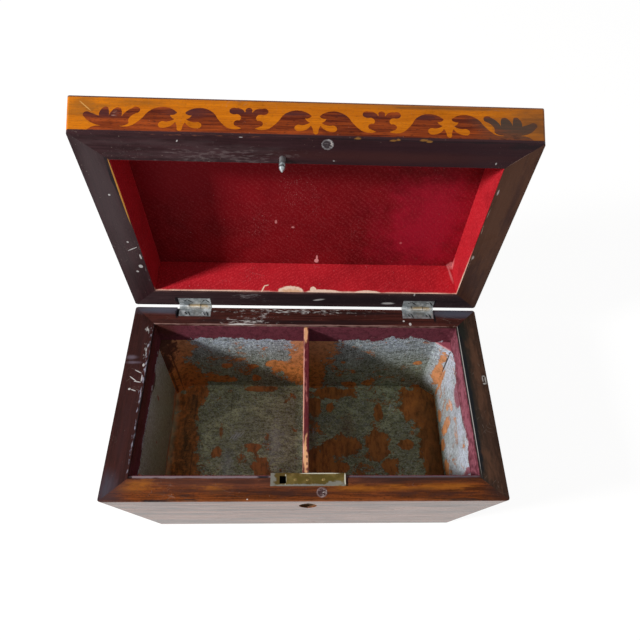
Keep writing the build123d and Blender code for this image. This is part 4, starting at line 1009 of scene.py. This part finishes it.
def old_metal(name, dull, bright, rub, rough, scale=120.0, marks=()):
    """Tarnished metal, rubbed bright in places, with fine scratches and dirt."""
    material, n, shader = new_material(name)
    place = n.place()
    cloud = n.noise(place, scale, 5.0, 0.6)
    tone = n.mix(n.rise(cloud, 0.62 - rub * 0.3, 0.72), dull, bright)
    dirt, scratches, _ = n.old_surface(place, 1.0)
    tone = n.mix(n.times(scratches, 0.6), tone, bright)
    tone = n.mix(n.times(dirt, 0.55), tone, shade(dull, 0.25))
    tone = n.marked(tone, place, marks)
    pits = n.noise(place, 700.0, 3.0)
    feed(n, shader, Base_Color=tone, Metallic=0.9, Roughness=n.plus(n.times(cloud, 0.25), rough),
         Normal=n.bump(n.plus(n.times(scratches, -1.0), pits), 0.0001, 0.5))
    return material


class TEABOX_OT_lock(bpy.types.Operator):
    """Finishes the brass lock, its spring and post, and the grey stud"""

    bl_idname = "teabox.lock"
    bl_label = "Lock"

    def execute(self, context):
        metal = context.scene.teabox_metals
        grey, green = (0.21, 0.21, 0.19), (0.095, 0.072, 0.014)
        marks = marks_on("box rim",
            (green, 0.65, "soft", (10, -56.3, 20, 3), (-4, -56.3, 9, 2.6)),
            (grey, 0.75, "worn", (-21.5, -56, 3, 6), (0, -59.9, 26, 0.7), (18, -58.6, 6, 1.4)),
            ((0.62, 0.6, 0.5), 0.8, "cut", (-12.6, -56.2, 0.5, 3.2), (22.8, -56, 0.5, 3.6),
                (8, -52.6, 12, 0.35)),
        )
        plate = old_metal("Lock plate brass", metal.brass, metal.bright_brass, 0.5, 0.32, marks=marks)
        dress(plate, "lock_plate")
        dress(old_metal("Lock brass", metal.brass, metal.bright_brass, 0.35, 0.32),
              "lock_case", "lock_bolt")
        stud = old_metal("Grey stud metal", metal.grey_metal, metal.pale_metal, 0.9, 0.26)
        dress(stud, "lid_stud")
        dress(old_metal("Dull iron", metal.iron, shade(metal.pale_metal, 0.7), 0.4, 0.38),
              "lock_spring", "lock_key_post", "hinge_left_pin", "hinge_right_pin")
        return {"FINISHED"}


class TEABOX_OT_hinges(bpy.types.Operator):
    """Finishes the grey hinge leaves, whose knuckles are rubbed to the brass"""

    bl_idname = "teabox.hinges"
    bl_label = "Hinges"

    def execute(self, context):
        metal = context.scene.teabox_metals
        # Painted shadows: a dark stroke on the leaf beside each screw head
        painted_screw_shadow = (0.01, 0.013, 0.012)
        for side, x in HINGES:
            knuckles = [
                ((0.3, 0.215, 0.105), 0.85, "cut", [((x + 2.5, *PIN), (12.5, 2, 2))]),
                ((0.02, 0.018, 0.016), 0.85, "cut",
                    [((x + gap, *PIN), (0.3, 2.6, 2.6)) for gap in (-4.4, 3.6)]),
            ]
            marks = knuckles + marks_on("box rim",
                (painted_screw_shadow, 0.9, "cut", (x - 3.9, 64.2, 0.45, 1.9, 22), (x + 8.6, 64.2, 0.55, 2, 22)),
                ((0.16, 0.145, 0.11), 0.5, "mottled", (x + 1, 65, 4, 3.4)),
                ((0.66, 0.66, 0.64), 0.6, "worn", (x, 61.2, 10, 0.5), (x + 10.2, 65, 0.5, 3.5),
                    (x, 69, 9, 0.5)),
            ) + marks_on("lid rim",
                (painted_screw_shadow, 0.9, "cut", (x - 3.2, 101.2, 0.55, 2.6, -48), (x + 9, 101.2, 0.5, 2.2, -34)),
            )
            leaf = old_metal(f"{side.capitalize()} hinge metal", metal.grey_metal, metal.pale_metal,
                             0.8, 0.36, 260.0, marks)
            dress(leaf, f"hinge_{side}_body_leaf", f"hinge_{side}_lid_leaf")
        return {"FINISHED"}


def pick_faces(piece, wanted):
    """Goes into edit mode with the faces selected whose middle and normal are wanted."""
    bpy.ops.object.mode_set(mode="EDIT")
    bpy.ops.mesh.select_mode(type="FACE")
    bpy.ops.mesh.select_all(action="DESELECT")
    bpy.ops.object.mode_set(mode="OBJECT")
    for face in piece.data.polygons:
        face.select = wanted(face.center, face.normal)
    bpy.ops.object.mode_set(mode="EDIT")


def pull(distance, share=1.0):
    """Extrudes the selected faces along Z and draws the new end in or out by a share."""
    bpy.ops.mesh.extrude_region_move(TRANSFORM_OT_translate={"value": (0.0, 0.0, distance)})
    if share != 1.0:
        bpy.ops.transform.resize(value=(share, share, 1.0), center_override=(0.0, 0.0, 0.0))


def round_bar(name, width, depth, *materials):
    """An upright round bar with its upper end at the origin."""
    bpy.ops.object.select_all(action="DESELECT")
    bpy.ops.mesh.primitive_cylinder_add(
        vertices=32, radius=width / 2, depth=depth, location=(0, 0, -depth / 2)
    )
    bar = bpy.context.object
    bar.name = name
    for material in materials:
        bar.data.materials.append(material)
    bpy.ops.object.transform_apply(location=True, rotation=False, scale=False)
    return bar


def slotted_screw(name, fittings, full_length, material):
    """A countersunk wood screw with its head's face at the origin, facing up, and dirt in its slot."""
    head, depth, shank = fittings.head, fittings.head_depth, fittings.shank
    cone, tip = 0.45 * (head - shank), 0.9 * shank
    screw = round_bar(name, head, depth, material, bpy.data.materials["Dirt in the slots"])
    pick_faces(screw, lambda middle, normal: normal.z < -0.9)
    pull(-cone, shank / head)
    pull(-(full_length - depth - cone - tip))
    pull(-tip, 0.12)
    pick_faces(screw, lambda middle, normal: normal.z > 0.9)
    bpy.ops.mesh.bevel(offset=0.05 * head, segments=2, affect="EDGES")
    half, end = fittings.slot_width / 2, 0.40 * head
    top = -0.02 * head

    def on_top(middle, normal):
        return normal.z > 0.99 and middle.z > top

    def in_slot(middle, normal):
        return on_top(middle, normal) and abs(middle.y) < half / 2 and abs(middle.x) < end / 2

    for cut in ((0.0, half, 0.0), (0.0, -half, 0.0), (end, 0.0, 0.0), (-end, 0.0, 0.0)):
        pick_faces(screw, on_top)
        bpy.ops.mesh.bisect(plane_co=cut, plane_no=tuple(float(v != 0.0) for v in cut))
    pick_faces(screw, in_slot)
    pull(-fittings.slot_depth)
    bpy.ops.mesh.select_more()
    screw.active_material_index = 1
    bpy.ops.object.material_slot_assign()
    bpy.ops.mesh.select_all(action="SELECT")
    bpy.ops.mesh.normals_make_consistent(inside=False)
    bpy.ops.object.mode_set(mode="OBJECT")
    bpy.ops.object.shade_smooth_by_angle(angle=math.radians(35))
    return screw


def stand_copies(model, places, body, node):
    """Copies the model to each place, with its own mesh. A place is a point in mm, the way that the
    head faces and the slot's turn in degrees. The model itself takes the first place."""
    base = model.data.copy()
    for number, (point, facing, twist) in enumerate(places, 1):
        piece = model if number == 1 else model.copy()
        piece.data = base.copy()
        if number > 1:
            bpy.context.collection.objects.link(piece)
        piece.name = f"{node}_{number}"
        turn = Vector((0, 0, 1)).rotation_difference(Vector(facing)).to_matrix().to_4x4()
        spin = Matrix.Rotation(math.radians(twist), 4, "Z")
        piece.data.transform(Matrix.Translation(MM * Vector(point)) @ turn @ spin)
        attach(piece, body)
        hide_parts(node)
    bpy.data.meshes.remove(base)


class TEABOX_OT_hinge_screws(bpy.types.Operator):
    """Models the eight slotted screws of the hinges"""

    bl_idname = "teabox.hinge_screws"
    bl_label = "Hinge Screws"

    def execute(self, context):
        metal = context.scene.teabox_metals
        fittings = context.scene.teabox_fittings
        old_metal("Dirt in the slots", (0.010, 0.009, 0.008), (0.035, 0.030, 0.027), 0.3, 0.65, 900.0)
        dark = old_metal("Hinge screw iron", shade(metal.grey_metal, 0.8), metal.pale_metal,
                         0.9, 0.36, 420.0)
        xs = (-84.8, -72.4, 72.4, 84.8)
        for body, node, (y, z), facing, turns in (
            ("box", "hinge_body_screws", (64.45, BOX_RIM), (0, 0, 1), (-52, -61, -47, -66)),
            ("lid", "hinge_lid_screws", (LID_RIM, 101.85), (0, -1, 0), (40, 48, 12, -8)),
        ):
            screw = slotted_screw("hinge_screw", fittings, fittings.hinge_screw, dark)
            stand_copies(screw, [((x, y, z), facing, turn) for x, turn in zip(xs, turns)], body, node)
        return {"FINISHED"}


class TEABOX_OT_lock_screws(bpy.types.Operator):
    """Models the four slotted screws that hold the lock's back plate"""

    bl_idname = "teabox.lock_screws"
    bl_label = "Lock Screws"

    def execute(self, context):
        metal, fittings = context.scene.teabox_metals, context.scene.teabox_fittings
        iron = old_metal("Lock screw iron", metal.iron, metal.bright_brass, 0.5, 0.40, 300.0)
        screw = slotted_screw("lock_screw", fittings, fittings.lock_screw, iron)
        places = [((x, -52.3, z), (0, 1, 0), turn) for x, z, turn in (
            (-19.35, 89.5, 15), (-19.35, 69.5, -30), (20.95, 89.5, 70), (20.95, 69.5, 48)
        )]
        stand_copies(screw, places, "box", "lock_screws")
        return {"FINISHED"}


class TEABOX_OT_rivets(bpy.types.Operator):
    """Models the three hammered rivets of the lock plate"""

    bl_idname = "teabox.rivets"
    bl_label = "Lock Rivets"

    def execute(self, context):
        metal, fittings = context.scene.teabox_metals, context.scene.teabox_fittings
        brass = old_metal("Rivet brass", metal.brass, metal.bright_brass, 0.9, 0.30, 500.0)
        rivet = round_bar("lock_rivet", fittings.rivet, fittings.rivet_length, brass)
        pick_faces(rivet, lambda middle, normal: normal.z > 0.9)
        pull(0.6 * fittings.rivet_crown, 0.92)
        pull(0.4 * fittings.rivet_crown, 0.70)
        pick_faces(rivet, lambda middle, normal: normal.z < -0.9)
        bpy.ops.mesh.bevel(offset=0.06 * fittings.rivet, segments=2, affect="EDGES")
        bpy.ops.object.mode_set(mode="OBJECT")
        bpy.ops.object.shade_smooth_by_angle(angle=math.radians(50))
        places = [((x, -56.3, BOX_RIM), (0, 0, 1), 40 * x) for x in (-6.7, 0.5, 10.0)]
        stand_copies(rivet, places, "box", "lock_rivets")
        return {"FINISHED"}


class TEABOX_OT_stage(bpy.types.Operator):
    """Sets the pale floor, the window light and the camera"""

    bl_idname = "teabox.stage"
    bl_label = "Stage"

    def execute(self, context):
        stage = context.scene.teabox_stage
        bpy.ops.object.select_all(action="DESELECT")
        bpy.ops.mesh.primitive_plane_add(size=stage.floor_size, location=(0, 0, -stage.floor_drop))
        floor = context.object
        floor.name = "floor"
        material, n, shader = new_material("Pale floor")
        feed(n, shader, Base_Color=(0.80, 0.78, 0.75, 1.0), Roughness=0.9)
        glow = n.add("ShaderNodeEmission", {"Color": WHITE, "Strength": stage.floor_glow})
        share = n.times(self.seen(n), stage.floor_share)
        blend = n.add("ShaderNodeMixShader", {0: share, 1: shader.outputs[0], 2: glow})
        n.tree.links.new(blend, n.tree.nodes["Material Output"].inputs["Surface"])
        floor.data.materials.append(material)

        world = bpy.data.worlds.new("Room")
        world.use_nodes = True
        context.scene.world = world
        n = Nodes(world.node_tree)
        feed(n, n.tree.nodes["Background"], Color=WHITE, Strength=n.fit(self.seen(n), stage.sky, 1.0))

        bpy.ops.object.light_add(type="AREA", location=stage.window_place)
        window = context.object
        window.name = "window"
        window.data.shape = "SQUARE"
        window.data.size = stage.window_size
        window.data.energy = stage.window_power
        aim = Vector(stage.window_aim) - window.location
        window.rotation_euler = aim.to_track_quat("-Z", "Y").to_euler()

        bpy.ops.object.camera_add(location=stage.camera_place, rotation=stage.camera_turn)
        camera = context.object
        camera.name = "camera"
        camera.data.sensor_width = 36.0
        camera.data.lens = stage.lens
        camera.data.shift_x, camera.data.shift_y = stage.camera_shift
        camera.data.clip_start = 0.01
        camera.data.clip_end = 20.0
        context.scene.camera = camera
        context.scene.view_settings.view_transform = "Standard"
        return {"FINISHED"}

    @staticmethod
    def seen(n):
        """1 for what the camera sees, straight or in a polished face."""
        path = n.tree.nodes.new("ShaderNodeLightPath").outputs
        mirrored = n.most(path["Is Glossy Ray"], path["Is Transmission Ray"])
        return n.most(path["Is Camera Ray"], mirrored)


class TEABOX_PT_panel(bpy.types.Panel):
    """Lists the steps that finish the box"""

    bl_idname = "TEABOX_PT_panel"
    bl_label = "Sarcophagus Box"
    bl_space_type = "VIEW_3D"
    bl_region_type = "UI"
    bl_category = "Tea Box"

    def draw(self, context):
        for step in STEPS:
            self.layout.operator(step.bl_idname)


GROUPS = {
    "teabox_woods": TeaBoxWoods,
    "teabox_linings": TeaBoxLinings,
    "teabox_metals": TeaBoxMetals,
    "teabox_fittings": TeaBoxFittings,
    "teabox_stage": TeaBoxStage,
}
STEPS = (
    TEABOX_OT_effects,
    TEABOX_OT_marquetry,
    TEABOX_OT_box_rims,
    TEABOX_OT_lid_rims,
    TEABOX_OT_veneers,
    TEABOX_OT_carcase,
    TEABOX_OT_discs,
    TEABOX_OT_papers,
    TEABOX_OT_foils,
    TEABOX_OT_lock,
    TEABOX_OT_hinges,
    TEABOX_OT_hinge_screws,
    TEABOX_OT_lock_screws,
    TEABOX_OT_rivets,
    TEABOX_OT_stage,
)


def register():
    for kind in (*GROUPS.values(), *STEPS, TEABOX_PT_panel):
        bpy.utils.register_class(kind)
    for name, kind in GROUPS.items():
        setattr(bpy.types.Scene, name, bpy.props.PointerProperty(type=kind))


def unregister():
    for name in GROUPS:
        delattr(bpy.types.Scene, name)
    for kind in reversed((*GROUPS.values(), *STEPS, TEABOX_PT_panel)):
        bpy.utils.unregister_class(kind)


def main():
    register()
    bpy.ops.teabox.effects()
    bpy.ops.teabox.marquetry()
    bpy.ops.teabox.box_rims()
    bpy.ops.teabox.lid_rims()
    bpy.ops.teabox.veneers()
    bpy.ops.teabox.carcase()
    bpy.ops.teabox.discs()
    bpy.ops.teabox.papers()
    bpy.ops.teabox.foils()
    bpy.ops.teabox.lock()
    bpy.ops.teabox.hinges()
    bpy.ops.teabox.hinge_screws()
    bpy.ops.teabox.lock_screws()
    bpy.ops.teabox.rivets()
    bpy.ops.teabox.stage()


if __name__ == "__main__":
    main()
